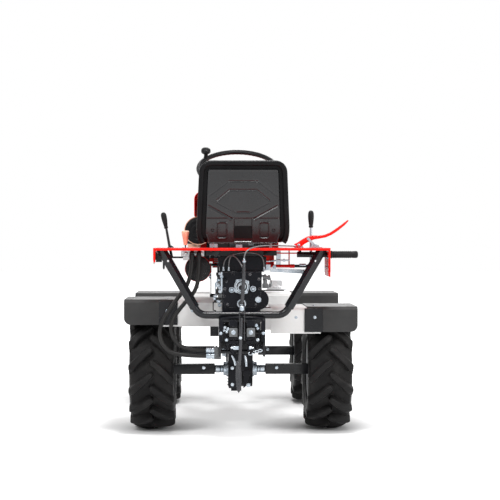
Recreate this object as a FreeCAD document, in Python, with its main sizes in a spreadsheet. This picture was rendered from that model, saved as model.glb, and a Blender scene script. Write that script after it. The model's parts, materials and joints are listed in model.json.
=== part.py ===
import FreeCAD, Part
import math
import os
import re

import Sketcher

# Compact articulated four-wheel-drive tractor, in millimetres.
# +Y is forward, +X is the driver's right, +Z is up.  The origin lies on the
# ground, below the articulation pivot and midway along the tractor.

os.makedirs("parts", exist_ok=True)
doc = FreeCAD.newDocument("compact_tractor")
sheet = doc.addObject("Spreadsheet::Sheet", "Sizes")

SIZES = {
    # wheels
    "wheelbase": 1050, "track": 856, "axle_height": 292,
    "tyre_tip_radius": 292, "tyre_half_width": 112, "carcass_radius": 256,
    "sidewall_radius": 200, "shoulder_half_width": 102, "lug_count": 14,
    "lug_shoulder_radius": 277, "lug_reach": 67, "lug_sweep": 98,
    "rim_half_width": 89, "rim_flange_radius": 166, "bead_seat_radius": 153,
    "rim_well_radius": 132, "rim_wall": 4, "disc_offset": 60, "disc_thickness": 6,
    "spigot_radius": 28, "hub_flange_radius": 65, "hub_flange_thickness": 6,
    "square_tube_side": 50, "square_tube_from": 125, "shaft_radius": 18,
    "shaft_inner_end": 30, "running_gap": 0.08, "axle_case_half_width": 60,
    "bearing_cap_radius": 32, "bearing_cap_length": 20,
    # rear gear case
    "case_rear": -860, "case_front": -600, "case_bottom": 530, "case_top": 780,
    "case_left": -91, "case_right": 95, "bulge_radius": 48, "bulge_across": 80,
    "bulge_height": 649, "bulge_length": 110,
    "leg_half_width": 60, "leg_rear": -640, "leg_front": -420,
    "axle_case_radius": 88, "belly_depth": 105,
    "nose_radius": 58, "nose_length": 40, "nose_height": 450,
    "boss_radius": 40, "boss_length": 22, "boss_across": 1, "boss_height": 711,
    "small_boss_radius": 22, "small_boss_height": 630,
    # chassis and articulation
    "pin_radius": 15, "jaw_thickness": 12, "jaw_lower": 378, "jaw_upper": 510,
    "jaw_half_width": 50, "jaw_radius": 42, "yoke_radius": 35, "side_play": 1,
    "collar_radius": 24, "collar_height": 9, "beam_half_width": 75,
    "web_front": -70, "web_thickness": 14, "spine_height": 450,
    "spindle_radius": 25, "spindle_end": 205, "sleeve_radius": 42,
    "sleeve_rear": 50, "sleeve_front": 185, "spindle_nut_length": 14,
    "spindle_nut_radius": 36,
    # plugs in the rear gear case
    "plug_length": 8, "plug_left_across": -50, "plug_left_height": 697,
    "plug_left_radius": 13, "plug_right_across": 52, "plug_right_height": 701,
    "plug_right_radius": 13.5, "plug_low_across": 76, "plug_low_height": 650,
    "plug_low_radius": 14.5, "plug_high_across": -75, "plug_high_height": 750,
    "plug_high_radius": 8, "plug_high_length": 6,
    # hitch
    "hitch_rear": -975, "hitch_half_width": 107, "hitch_plate": 10,
    "hitch_bottom": 391, "hitch_hole_radius": 10,
    "hitch_hole_along": -945, "hitch_hole_height": 432, "clamp_inner": 22,
    "clamp_outer": 62, "clamp_bottom": 462, "clamp_rear": -942, "clamp_front": -884,
    "clamp_plate_rear": -950, "clamp_plate_front": -940, "clamp_plate_bottom": 484,
    "clamp_plate_top": 522, "clamp_foot_rear": -932, "clamp_foot_front": -896,
    "cross_bar_radius": 9, "cross_bar_along": -890, "cross_bar_height": 408,
    "upper_bar_radius": 8, "upper_bar_along": -912, "upper_bar_height": 500,
    # hanging hitch lever
    "lever_rear": -1005, "lever_bar": 8, "lever_axis": -990, "lever_top": 825,
    "lever_foot": 606, "lever_tip": 225, "lever_sleeve_radius": 14,
    "lever_rod_radius": 7,
    # frame tubes and deck
    "bar_plane": -925, "bar_height": 581, "bar_radius": 17, "bar_corner": 198,
    "bar_bend": 60, "post_side": 32, "post_wall": 3, "post_twist": 32,
    "post_start": 40, "post_top_across": 375,
    "post_hole_radius": 5, "post_hole_down": 66,
    "deck_top": 892, "deck_sheet": 3, "deck_rear": -952, "deck_front": -520,
    "deck_half_width": 410, "deck_lip": 12, "left_flange_bottom": 818,
    "right_flange_bottom": 757, "right_flange_end": -670, "support_half_width": 168,
    "neck_half_width": 104,
    "support_thickness": 34, "support_rear": -800, "support_front": -400,
    # mudguards and panels
    "guard_outer": 557, "guard_inner": 314, "guard_sheet": 4, "guard_top": 646,
    "guard_flap": -769, "guard_front": -400, "guard_bottom": 525, "guard_skirt": 590,
    "guard_corner": 33, "right_guard_drop": 35, "panel_sheet": 3,
    "panel_outer": 380, "panel_inner_left": 107, "panel_inner_right": 140, "panel_bottom": 517,
    "front_guard_shift": 1065, "front_guard_drop": 14, "front_guard_outer": 568,
    "beam_side": 40, "beam_rear": -690,
    # seat
    "seat_half_width": 221, "seat_bottom": 912, "seat_back_top": 1308, "seat_across": 9,
    "seat_back_line": -772, "seat_front": -350, "seat_shell": 4, "seat_recline": 8,
    "seat_top_half_width": 209, "seat_corner": 57, "seat_rim": 28, "rim_depth": 14,
    "seat_pan_inset": 40, "cushion_height": 78, "back_cushion_front": 62,
    "emboss": 3, "back_cushion_foot": 60, "cushion_inset": 3, "rim_foot": 6,
    # steering
    "wheel_tilt": 29, "wheel_forward": 75, "wheel_height": 1315,
    "wheel_radius": 211, "wheel_grip_radius": 13.5, "wheel_hub_radius": 34,
    "wheel_hub_drop": 45, "column_radius": 18, "column_length": 78,
    "tower_half_width": 55, "pedal_height": 738, "pedal_inner": 62, "pedal_outer": 112,
    # front frame
    "rail_outer": 150, "rail_inner": 110, "rail_top": 530, "rail_bottom": 470,
    "rail_front": 960, "cross_plate": 12, "engine_half_width": 105,
    "engine_rear": 300, "engine_front": 720, "engine_top": 1000,
    "engine_foot": 15, "crankcase_top": 760, "flywheel_radius": 105,
    "pulley_along": 560, "pulley_height": 665, "radiator_rear": 860,
    "radiator_front": 925, "radiator_top": 1020, "muffler_across": 180,
    "muffler_length": 170, "muffler_rear": 230, "port_radius": 16,
    "tail_radius": 13, "tail_length": 45, "cleaner_across": 215, "cleaner_rear": 235,
    "cleaner_height": 981, "cleaner_radius": 78, "cleaner_length": 170,
    "cleaner_cap_radius": 60, "cleaner_cap": 10, "cleaner_pipe_radius": 25,
    "cleaner_pipe_along": 360, "bowl_across": -240, "bowl_along": 300,
    "bowl_drop": 97, "bowl_radius": 13, "bowl_length": 30,
    "muffler_radius": 45, "muffler_height": 955, "radiator_half_width": 105,
    "hood_half_width": 238, "hood_rear": 190, "hood_front": 975,
    "hood_top": 1196, "hood_bottom": 760, "hood_side_bottom": 865, "hood_sheet": 3, "hood_round": 42,
    "notch_front": 420, "notch_top": 1062, "hinge_forward": 955,
    "hinge_height": 778, "hinge_pin_radius": 8, "hinge_post": 6,
    "grille_half_width": 170, "grille_bottom": 830, "grille_pitch": 26,
    "grille_slot": 12, "grille_count": 5, "lamp_radius": 52, "lamp_depth": 14,
    "lamp_across": 165, "lamp_height": 1065,
    "bumper_front": 1005, "bumper_half_width": 185, "bumper_hole_radius": 6.5,
    "bumper_hole_across": 165,
    # foot plates
    "foot_inner": 145, "foot_outer": 245, "foot_rear": -240, "foot_front": -60,
    "foot_low": 670, "foot_high": 711, "foot_sheet": 4, "left_foot_drop": 95,
    "foot_arm": 6,
    # controls
    "grip_gap": 20, "grip_length": 126, "handle_drop": 32, "handle_start": 265, "handle_radius": 13,
    "grip_radius": 19, "handle_line": -790, "hand_line": -745, "lever_line": -725, "lever_radius": 6,
    "slot_radius": 12, "lever_grip_radius": 15,
    # hydraulics
    "valve_left": -285, "valve_right": -172, "valve_rear": -800, "valve_front": -700,
    "valve_bottom": 826, "port_line": -850, "port_height": 862, "hose_radius": 9.5,
    "hose_start": 840, "port_left": -233, "port_right": -200, "filter_radius": 58,
    "filter_across": -205, "filter_height": 793, "filter_rear": -693,
    "filter_front": -560, "coupling_across": -160, "coupling_line": -875,
    "coupling_low": 386, "coupling_high": 414, "ferrule_radius": 12,
    "cable_radius": 3,
}
for row, (alias, number) in enumerate(SIZES.items(), start=1):
    sheet.set("A%d" % row, alias)
    sheet.set("B%d" % row, str(number))
    sheet.setAlias("B%d" % row, alias)
doc.recompute()

NODES = []
UP = FreeCAD.Vector(0, 0, 1)
TURNS = {
    "X": FreeCAD.Rotation(UP, FreeCAD.Vector(1, 0, 0)),
    "Y": FreeCAD.Rotation(UP, FreeCAD.Vector(0, 1, 0)),
    "Z": FreeCAD.Rotation(),
}


def formula(text):
    """Write sheet names in full, so a formula reads the spreadsheet."""
    return re.sub(r"[a-z_]+", lambda hit: "Sizes." + hit.group(0)
                  if hit.group(0) in SIZES else hit.group(0), str(text))


def size(text):
    return float(sheet.evalExpression(formula(text)))


def bind(thing, name, text):
    thing.setExpression(name, formula(text))


def set_base(thing, at):
    for axis, text in zip("xyz", at):
        bind(thing, "Placement.Base." + axis, text)


def node(label, thing):
    thing.Label = label
    NODES.append(thing)
    return thing


def block(name, across, along, height):
    """A box given as three (from, to) pairs."""
    thing = doc.addObject("Part::Box", name)
    for prop, pair in (("Length", across), ("Width", along), ("Height", height)):
        bind(thing, prop, "(%s) - (%s)" % (pair[1], pair[0]))
    set_base(thing, (across[0], along[0], height[0]))
    return thing


def rod(name, radius, length, at, axis="Z"):
    """A round bar starting at a point and running along X, Y or Z."""
    thing = doc.addObject("Part::Cylinder", name)
    bind(thing, "Radius", radius)
    bind(thing, "Height", length)
    thing.Placement.Rotation = TURNS[axis]
    set_base(thing, at)
    return thing


def strut(name, radius, start, end):
    """A round bar between two points."""
    first = FreeCAD.Vector(*[size(text) for text in start])
    last = FreeCAD.Vector(*[size(text) for text in end])
    thing = doc.addObject("Part::Cylinder", name)
    bind(thing, "Radius", radius)
    bind(thing, "Height", "sqrt(%s)" % " + ".join(
        "((%s) - (%s))^2" % (far, near) for near, far in zip(start, end)))
    thing.Placement.Rotation = FreeCAD.Rotation(UP, last.sub(first))
    set_base(thing, start)
    return thing


def fuse(name, things):
    thing = doc.addObject("Part::MultiFuse", name)
    thing.Shapes = things
    thing.Refine = True
    return thing


def cut(name, base, tools):
    thing = doc.addObject("Part::Cut", name)
    thing.Base = base
    thing.Tool = tools[0] if len(tools) == 1 else fuse(name + "_tools", tools)
    thing.Refine = True
    return thing


def common(name, one, other):
    thing = doc.addObject("Part::Common", name)
    thing.Base = one
    thing.Tool = other
    return thing


def mirror(name, source):
    """The same piece on the other side of the centre plane."""
    thing = doc.addObject("Part::Mirroring", name)
    thing.Source = source
    thing.Normal = FreeCAD.Vector(1, 0, 0)
    return thing


def sketch(body, name, plane, points):
    """A closed outline whose corners are each bound to the sheet."""
    drawing = body.newObject("Sketcher::SketchObject", name)
    origin = [part for part in body.Origin.OriginFeatures if part.Role == plane][0]
    drawing.AttachmentSupport = [(origin, "")]
    drawing.MapMode = "FlatFace"
    corners = [(size(u), size(v)) for u, v in points]
    count = len(corners)
    for index in range(count):
        here, there = corners[index], corners[(index + 1) % count]
        drawing.addGeometry(Part.LineSegment(
            FreeCAD.Vector(here[0], here[1], 0), FreeCAD.Vector(there[0], there[1], 0)))
    for index in range(count):
        drawing.addConstraint(
            Sketcher.Constraint("Coincident", index, 2, (index + 1) % count, 1))
    for index, point in enumerate(points):
        for kind, place in (("DistanceX", 0), ("DistanceY", 1)):
            number = drawing.addConstraint(
                Sketcher.Constraint(kind, -1, 1, index, 1, corners[index][place]))
            drawing.setExpression("Constraints[%d]" % number, formula(point[place]))
    return drawing


def profile(name, plane, points, start, end):
    """An outline drawn on XY, XZ or YZ and padded along the third axis."""
    body = doc.addObject("PartDesign::Body", name)
    drawing = sketch(body, name + "_outline", plane + "_Plane", points)
    pad = body.newObject("PartDesign::Pad", name + "_pad")
    pad.Profile = drawing
    bind(pad, "Length", "(%s) - (%s)" % (end, start))
    pad.Reversed = plane == "XZ"
    body.Tip = pad
    third = {"XY": "z", "XZ": "y", "YZ": "x"}[plane]
    bind(body, "Placement.Base." + third, start)
    return body


def turned(name, points, at):
    """A solid of revolution about X; points are (along the axis, radius)."""
    body = doc.addObject("PartDesign::Body", name)
    drawing = sketch(body, name + "_section", "XZ_Plane", points)
    turn = body.newObject("PartDesign::Revolution", name + "_turn")
    turn.Profile = drawing
    turn.ReferenceAxis = (drawing, ["H_Axis"])
    turn.Angle = 360
    body.Tip = turn
    set_base(body, at)
    return body


def soften(body, radius, wanted):
    """Round the edges of a body's tip that a test picks out."""
    doc.recompute()
    base = body.Tip
    names = ["Edge%d" % number for number, edge in enumerate(base.Shape.Edges, 1)
             if wanted(edge)]
    rounding = body.newObject("PartDesign::Fillet", body.Name + "_round")
    rounding.Base = (base, names)
    bind(rounding, "Radius", radius)
    body.Tip = rounding
    return body


def runs_along(edge, axis):
    ends = edge.Vertexes
    if len(ends) != 2:
        return False
    way = ends[1].Point.sub(ends[0].Point)
    return way.Length > 0 and abs(way.normalize().dot(axis)) > 0.999


ALONG_X = FreeCAD.Vector(1, 0, 0)
ALONG_Y = FreeCAD.Vector(0, 1, 0)
ALONG_Z = FreeCAD.Vector(0, 0, 1)

REAR_AXLE = "-wheelbase / 2"
FRONT_AXLE = "wheelbase / 2"


# ---------------------------------------------------------------- wheels
def all_round(body, count, whole):
    """Repeat a body's last feature, or its whole shape, all round X."""
    doc.recompute()
    pattern = body.newObject("PartDesign::PolarPattern", body.Name + "_ring")
    pattern.Originals = [] if whole else [body.Tip]
    pattern.TransformMode = "Whole shape" if whole else "Features"
    axis = [part for part in body.Origin.OriginFeatures if part.Role == "X_Axis"][0]
    pattern.Axis = (axis, [""])
    pattern.Angle = 360
    bind(pattern, "Occurrences", count)
    body.Tip = pattern


def faceted_ring(name, points, at):
    """A ring of flat facets about X: one mitred slice, repeated all round."""
    body = doc.addObject("PartDesign::Body", name)
    beyond = "(tyre_tip_radius + 10)"
    facet = "tan(90 / lug_count)"
    section = sketch(body, name + "_section", "XZ_Plane", points)
    bind(section, "AttachmentOffset.Base.z", "-%s * %s" % (beyond, facet))
    piece = body.newObject("PartDesign::Pad", name + "_slice")
    piece.Profile = section
    bind(piece, "Length", "2 * %s * %s" % (beyond, facet))
    for side, word in ((1, "ahead"), (-1, "behind")):
        edge = "%d * %%s * %s" % (side, facet)
        waste = "%d * (%s * %s + 10)" % (side, beyond, facet)
        mitre = sketch(body, name + "_mitre_" + word, "YZ_Plane", [
            (edge % "rim_well_radius", "rim_well_radius"), (edge % beyond, beyond),
            (waste, beyond), (waste, "rim_well_radius")])
        bind(mitre, "AttachmentOffset.Base.z", "tyre_half_width + 10")
        piece = body.newObject("PartDesign::Pocket", name + "_trim_" + word)
        piece.Profile = mitre
        bind(piece, "Length", "2 * tyre_half_width + 20")
    body.Tip = piece
    all_round(body, "2 * lug_count", True)
    set_base(body, at)
    return body


def both_sides(outer, inner):
    """A closed section from the right half's outer and inner corners."""
    return ([("-(%s)" % across, radius) for across, radius in outer]
            + [point for point in reversed(outer) if point[0] != "0"] + inner
            + [("-(%s)" % across, radius) for across, radius in reversed(inner)])


def lug_ring(name, side, phase, at):
    """Slanted bars all round one half of the tread."""
    body = doc.addObject("PartDesign::Body", name)
    outer = "%d * (tyre_half_width + 4)" % side
    pad = body.newObject("PartDesign::Pad", name + "_bar")
    pad.Profile = sketch(body, name + "_outline", "XY_Plane", [
        ("%d" % side, "lug_reach"), (outer, "lug_reach - lug_sweep"),
        (outer, "-lug_reach"), ("%d" % side, "lug_sweep - lug_reach")])
    bind(pad, "Length", "tyre_tip_radius + 10")
    body.Tip = pad
    all_round(body, "lug_count", False)
    body.Placement.Rotation = FreeCAD.Rotation(ALONG_X, 1)
    bind(body, "Placement.Rotation.Angle", phase)
    set_base(body, at)
    return body


def wheel(prefix, axle):
    """Tyre, rim and hub of a right-hand wheel."""
    at = ("track / 2", axle, "axle_height")
    outer = [("rim_half_width - 15", "bead_seat_radius"),
             ("tyre_half_width", "sidewall_radius"),
             ("shoulder_half_width", "carcass_radius")]
    inner = [("rim_half_width - 26", "bead_seat_radius"),
             ("shoulder_half_width - 18", "carcass_radius - 22")]
    tread = [("shoulder_half_width + 7", "carcass_radius - 20"),
             ("shoulder_half_width - 4", "lug_shoulder_radius"), ("0", "tyre_tip_radius")]
    under = [("shoulder_half_width - 6", "carcass_radius - 20"),
             ("shoulder_half_width - 18", "carcass_radius - 8")]
    carcass = faceted_ring(prefix + "_carcass", both_sides(outer, inner), at)
    envelope = faceted_ring(prefix + "_envelope", both_sides(tread, under), at)
    rings = []
    for side, phase in ((1, "0"), (-1, "180 / lug_count")):
        word = "right" if side > 0 else "left"
        bars = lug_ring(prefix + "_bars_" + word, side, phase, at)
        rings.append(common(prefix + "_lugs_" + word, bars, envelope))
    tyre = node(prefix + "_tyre_right", fuse(prefix + "_tyre", [carcass] + rings))

    barrel = turned(prefix + "_barrel", [
        ("-rim_half_width", "rim_flange_radius"),
        ("-rim_half_width + rim_wall", "rim_flange_radius"),
        ("-rim_half_width + rim_wall", "bead_seat_radius"), ("-50", "bead_seat_radius"),
        ("-45", "rim_well_radius"), ("45", "rim_well_radius"), ("50", "bead_seat_radius"),
        ("rim_half_width - rim_wall", "bead_seat_radius"),
        ("rim_half_width - rim_wall", "rim_flange_radius"),
        ("rim_half_width", "rim_flange_radius"),
        ("rim_half_width", "bead_seat_radius - rim_wall"),
        ("53", "bead_seat_radius - rim_wall"), ("48", "rim_well_radius - rim_wall"),
        ("-48", "rim_well_radius - rim_wall"), ("-53", "bead_seat_radius - rim_wall"),
        ("-rim_half_width", "bead_seat_radius - rim_wall"),
    ], at)
    disc = turned(prefix + "_disc", [
        ("-disc_offset", "spigot_radius"), ("-disc_offset", "82"),
        ("-disc_offset + 26", "104"), ("-disc_offset + 26", "rim_well_radius - 2"),
        ("-disc_offset + 32", "rim_well_radius - 2"), ("-disc_offset + 32", "100"),
        ("-disc_offset + disc_thickness", "78"),
        ("-disc_offset + disc_thickness", "spigot_radius"),
    ], at)
    rim = node(prefix + "_rim_right", fuse(prefix + "_rim", [barrel, disc]))

    disc_face = "track / 2 - disc_offset"
    flange_face = "(track / 2 - disc_offset - hub_flange_thickness)"
    half = "square_tube_side / 2"
    hub = fuse(prefix + "_hub", [
        rod(prefix + "_shaft", "shaft_radius", "square_tube_from + 10 - shaft_inner_end",
            ("shaft_inner_end", axle, "axle_height"), "X"),
        block(prefix + "_square", ("square_tube_from", flange_face + " + 1"),
              ("%s - %s" % (axle, half), "%s + %s" % (axle, half)),
              ("axle_height - " + half, "axle_height + " + half)),
        rod(prefix + "_flange", "hub_flange_radius", "hub_flange_thickness",
            (flange_face, axle, "axle_height"), "X"),
        rod(prefix + "_spigot", "spigot_radius", "18", (disc_face, axle, "axle_height"),
            "X"),
    ])
    node(prefix + "_hub_right", hub)
    for piece, word in ((tyre, "tyre"), (rim, "rim"), (hub, "hub")):
        node("%s_%s_left" % (prefix, word), mirror("%s_%s_mirrored" % (prefix, word),
                                                   piece))


wheel("rear", REAR_AXLE)
wheel("front", FRONT_AXLE)


def axle_bore(name, axle):
    """Bore for the two wheel shafts, with running clearance."""
    return rod(name, "shaft_radius + running_gap", "2 * (axle_case_half_width + 60)",
               ("-axle_case_half_width - 60", axle, "axle_height"), "X")


def bearing_caps(label, axle):
    caps = [rod("%s_cap_%d" % (label, number), "bearing_cap_radius",
                "bearing_cap_length", (start, axle, "axle_height"), "X")
            for number, start in enumerate(
                ("axle_case_half_width", "-axle_case_half_width - bearing_cap_length"))]
    return node(label, cut(label + "_bored", fuse(label + "_pair", caps),
                           [axle_bore(label + "_bore", axle)]))


# ---------------------------------------------------------------- rear gear case
upper_case = profile("upper_case", "XZ", [
    ("case_left", "case_bottom + 30"), ("case_left + 20", "case_bottom"),
    ("case_right - 35", "case_bottom"), ("case_right - 35", "case_bottom + 55"),
    ("case_right", "case_bottom + 75"), ("case_right", "case_top"), ("case_left", "case_top"),
], "case_rear", "case_front")
bulge = rod("case_bulge", "bulge_radius", "bulge_length",
            ("bulge_across", "case_rear", "bulge_height"), "Y")
leg = block("lower_leg", ("-leg_half_width", "leg_half_width"),
            ("leg_rear", "leg_front"), ("axle_height", "case_bottom + 40"))
axle_case = rod("axle_case", "axle_case_radius", "2 * axle_case_half_width",
                ("-axle_case_half_width", REAR_AXLE, "axle_height"), "X")
belly = block("belly", ("-45", "5"), ("-wheelbase / 2 - 45", "-wheelbase / 2 + 45"),
              ("axle_height - belly_depth", "axle_height"))
nose = rod("input_nose", "nose_radius", "nose_length",
           ("0", "leg_front", "nose_height"), "Y")
node("gear_case", cut("gear_case_bored", fuse("gear_case_solid", [
    upper_case, bulge, leg, axle_case, belly, nose]), [axle_bore("rear_bore", REAR_AXLE)]))
bearing_caps("rear_bearing_caps", REAR_AXLE)

node("case_fittings", fuse("fittings", [
    rod("large_boss", "boss_radius", "boss_length",
        ("boss_across", "case_rear - boss_length", "boss_height"), "Y"),
    rod("small_boss", "small_boss_radius", "boss_length",
        ("boss_across", "case_rear - boss_length", "small_boss_height"), "Y"),
    rod("plug_left", "plug_left_radius", "plug_length",
        ("plug_left_across", "case_rear - plug_length", "plug_left_height"), "Y"),
    rod("plug_right", "plug_right_radius", "plug_length",
        ("plug_right_across", "case_rear - plug_length", "plug_right_height"), "Y"),
    rod("plug_low", "plug_low_radius", "plug_length",
        ("plug_low_across", "case_rear - plug_length", "plug_low_height"), "Y"),
    rod("plug_high", "plug_high_radius", "plug_high_length",
        ("plug_high_across", "case_rear - plug_high_length", "plug_high_height"), "Y"),
]))

# ---------------------------------------------------------------- rear chassis
PIN_CLEAR = "pin_radius + running_gap"
jaws = []
for word, low in (("lower", "jaw_lower"), ("upper", "jaw_upper")):
    jaws.append(block("jaw_" + word, ("-jaw_half_width", "jaw_half_width"),
                      ("web_front - 5", "0"), (low, low + " + jaw_thickness")))
    jaws.append(rod("jaw_nose_" + word, "jaw_radius", "jaw_thickness", ("0", "0", low)))
web = block("chassis_web", ("-beam_half_width", "beam_half_width"),
            ("web_front - web_thickness", "web_front"),
            ("jaw_lower", "jaw_upper + jaw_thickness"))
cheeks = [block("chassis_cheek_" + word, pair, ("leg_front", "web_front - web_thickness"),
                ("jaw_lower + 20", "jaw_upper + jaw_thickness"))
          for word, pair in (("left", ("-beam_half_width", "-beam_half_width + 10")),
                             ("right", ("beam_half_width - 10", "beam_half_width")))]
foot_flange = block("chassis_flange", ("-beam_half_width", "beam_half_width"),
                    ("leg_front", "leg_front + 12"),
                    ("jaw_lower + 20", "jaw_upper + jaw_thickness"))
foot_frame = [
    block("foot_arm_right", ("0", "foot_outer - 8"), ("foot_rear + 20", "foot_rear + 50"),
          ("foot_low - foot_arm", "foot_low")),
    block("foot_arm_left", ("8 - foot_outer", "0"), ("foot_rear + 20", "foot_rear + 50"),
          ("foot_low - left_foot_drop - foot_arm", "foot_low - left_foot_drop")),
    block("foot_riser", ("-30", "30"), ("foot_rear + 20", "foot_rear + 50"),
          ("jaw_upper + jaw_thickness", "foot_low")),
    block("foot_riser_base", ("-beam_half_width", "beam_half_width"),
          ("foot_rear", "foot_rear + 70"),
          ("jaw_upper + jaw_thickness", "jaw_upper + jaw_thickness + 8")),
]
node("rear_chassis", cut("rear_chassis_bored", fuse(
    "rear_chassis_solid", jaws + [web, foot_flange] + cheeks + foot_frame), [
        rod("pin_bore", PIN_CLEAR, "300", ("0", "0", "300")),
        rod("nose_bore", "nose_radius + 1", "60", ("0", "leg_front - 5", "nose_height"),
            "Y")]))

# ---------------------------------------------------------------- articulation yoke
yoke = fuse("yoke_solid", [
    rod("yoke_barrel", "yoke_radius",
        "jaw_upper - jaw_lower - jaw_thickness - 2 * side_play",
        ("0", "0", "jaw_lower + jaw_thickness + side_play")),
    rod("yoke_pin", "pin_radius",
        "jaw_upper - jaw_lower + jaw_thickness + 2 * (side_play + collar_height)",
        ("0", "0", "jaw_lower - side_play - collar_height")),
    rod("collar_top", "collar_radius", "collar_height",
        ("0", "0", "jaw_upper + jaw_thickness + side_play")),
    rod("collar_bottom", "collar_radius", "collar_height",
        ("0", "0", "jaw_lower - side_play - collar_height")),
    rod("spindle", "spindle_radius", "spindle_end", ("0", "0", "spine_height"), "Y"),
    rod("spindle_nut", "spindle_nut_radius", "spindle_nut_length",
        ("0", "spindle_end", "spine_height"), "Y"),
])
node("articulation_yoke", yoke)

# ---------------------------------------------------------------- hitch
HITCH_TOP = "(bar_height - bar_radius)"
side_plates, rear_ears, clamps = [], [], []
for word, side in (("left", -1), ("right", 1)):
    plate = sorted(["%d * hitch_half_width" % side,
                    "%d * (hitch_half_width - hitch_plate)" % side], key=size)
    clamp = sorted(["%d * clamp_inner" % side, "%d * clamp_outer" % side], key=size)
    side_plates.append(block("hitch_side_" + word, plate, ("hitch_rear", "leg_rear"),
                             ("hitch_bottom", "case_bottom - 8")))
    rear_ears.append(block("hitch_ear_" + word, plate, ("hitch_rear", "case_rear"),
                           ("case_bottom - 20", HITCH_TOP)))
    clamps += [
        block("clamp_body_" + word, clamp, ("clamp_rear", "clamp_front"),
              ("clamp_bottom", HITCH_TOP + " - 5")),
        block("clamp_plate_" + word, (clamp[0] + " - 2", clamp[1] + " + 2"),
              ("clamp_plate_rear", "clamp_plate_front"),
              ("clamp_plate_bottom", "clamp_plate_top")),
        block("clamp_foot_" + word, (clamp[0] + " + 8", clamp[1] + " - 8"),
              ("clamp_foot_rear", "clamp_foot_front"),
              ("clamp_bottom - 26", "clamp_bottom + 1")),
    ]
hitch_holes = rod("hitch_holes", "hitch_hole_radius", "300",
                  ("-150", "hitch_hole_along", "hitch_hole_height"), "X")
node("hitch_frame", cut("hitch_bored", fuse("hitch_solid", side_plates + rear_ears + clamps + [
    block("hitch_roof", ("-hitch_half_width", "hitch_half_width"),
          ("hitch_rear", "case_rear"), (HITCH_TOP + " - 12", HITCH_TOP)),
    block("hitch_wall", ("-hitch_half_width", "hitch_half_width"),
          ("leg_rear - 12", "leg_rear"), ("hitch_bottom + 10", "case_bottom - 8")),
    rod("hitch_cross_bar", "cross_bar_radius", "2 * hitch_half_width - hitch_plate",
        ("-hitch_half_width + hitch_plate / 2", "cross_bar_along", "cross_bar_height"), "X"),
    rod("hitch_upper_bar", "upper_bar_radius", "2 * hitch_half_width - hitch_plate",
        ("-hitch_half_width + hitch_plate / 2", "upper_bar_along", "upper_bar_height"), "X"),
]), [hitch_holes]))

# ---------------------------------------------------------------- frame tubes
RISE = "(deck_top - deck_sheet - bar_height)"
LEAN = "(post_top_across - bar_corner)"
reach = math.hypot(size(RISE), size(LEAN))
way = (size(LEAN) / reach, size(RISE) / reach)


def along_post(distance):
    """A point on the right post's axis, measured from the bar's corner."""
    return (size("bar_corner") + way[0] * distance,
            size("bar_plane"), size("bar_height") + way[1] * distance)


def square_tube(name, width, foot, top, side):
    """A square bar along a post, turned about its own axis."""
    start = FreeCAD.Vector(side * foot[0], foot[1], foot[2])
    run = FreeCAD.Vector(side * top[0], top[1], top[2]) - start
    turn = FreeCAD.Rotation(UP, run).multiply(
        FreeCAD.Rotation(UP, side * size("post_twist")))
    half = size(width) / 2
    corner = start + turn.multVec(FreeCAD.Vector(-half, -half, 0))
    bar = doc.addObject("Part::Box", name)
    for prop, text in (("Length", width), ("Width", width), ("Height", run.Length)):
        bind(bar, prop, text)
    bar.Placement = FreeCAD.Placement(corner, turn)
    return bar


def posts(label, side):
    foot, top = along_post(size("post_start")), along_post(reach + 40)
    outer, inner = [square_tube("%s_%s" % (label, word), width, foot, top, side)
                    for word, width in (("outer", "post_side"),
                                        ("inner", "post_side - 2 * post_wall"))]
    roof = block(label + "_roof", ("-600", "600"), ("bar_plane - 60", "bar_plane + 60"),
                 ("deck_top - deck_sheet", "deck_top + 100"))
    spot = along_post(reach - size("post_hole_down"))
    hole = rod(label + "_hole", "post_hole_radius", "100",
               (str(side * spot[0]), "bar_plane - 50", str(spot[2])), "Y")
    return node(label, cut(label + "_cut", outer, [inner, roof, hole]))


posts("frame_post_left", -1)
posts("frame_post_right", 1)


def tube_along(name, points, radius, bend):
    """A round bar along straight runs joined by arcs."""
    spots = [FreeCAD.Vector(*point) for point in points]
    edges, last = [], spots[0]
    for before, corner, after in zip(spots, spots[1:], spots[2:]):
        come, leave = (before - corner).normalize(), (after - corner).normalize()
        half_turn = (math.pi - come.getAngle(leave)) / 2
        trim = bend * math.tan(half_turn)
        first, final = corner + come * trim, corner + leave * trim
        middle = corner + (come + leave).normalize() * (bend / math.cos(half_turn) - bend)
        edges += [Part.LineSegment(last, first).toShape(),
                  Part.Arc(first, middle, final).toShape()]
        last = final
    edges.append(Part.LineSegment(last, spots[-1]).toShape())
    spine = Part.Wire(edges)
    section = Part.Wire(Part.makeCircle(radius, spots[0], spots[1] - spots[0]))
    shape = spine.makePipeShell([section], True, False)
    thing = doc.addObject("Part::Feature", name)
    thing.Shape = shape
    return thing


end = along_post(size("post_start"))
corner = along_post(0)
node("rear_bar", tube_along("rear_bar_pipe", [
    (-end[0], end[1], end[2]), (-corner[0], corner[1], corner[2]), corner, end],
    size("bar_radius"), size("bar_bend")))

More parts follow.
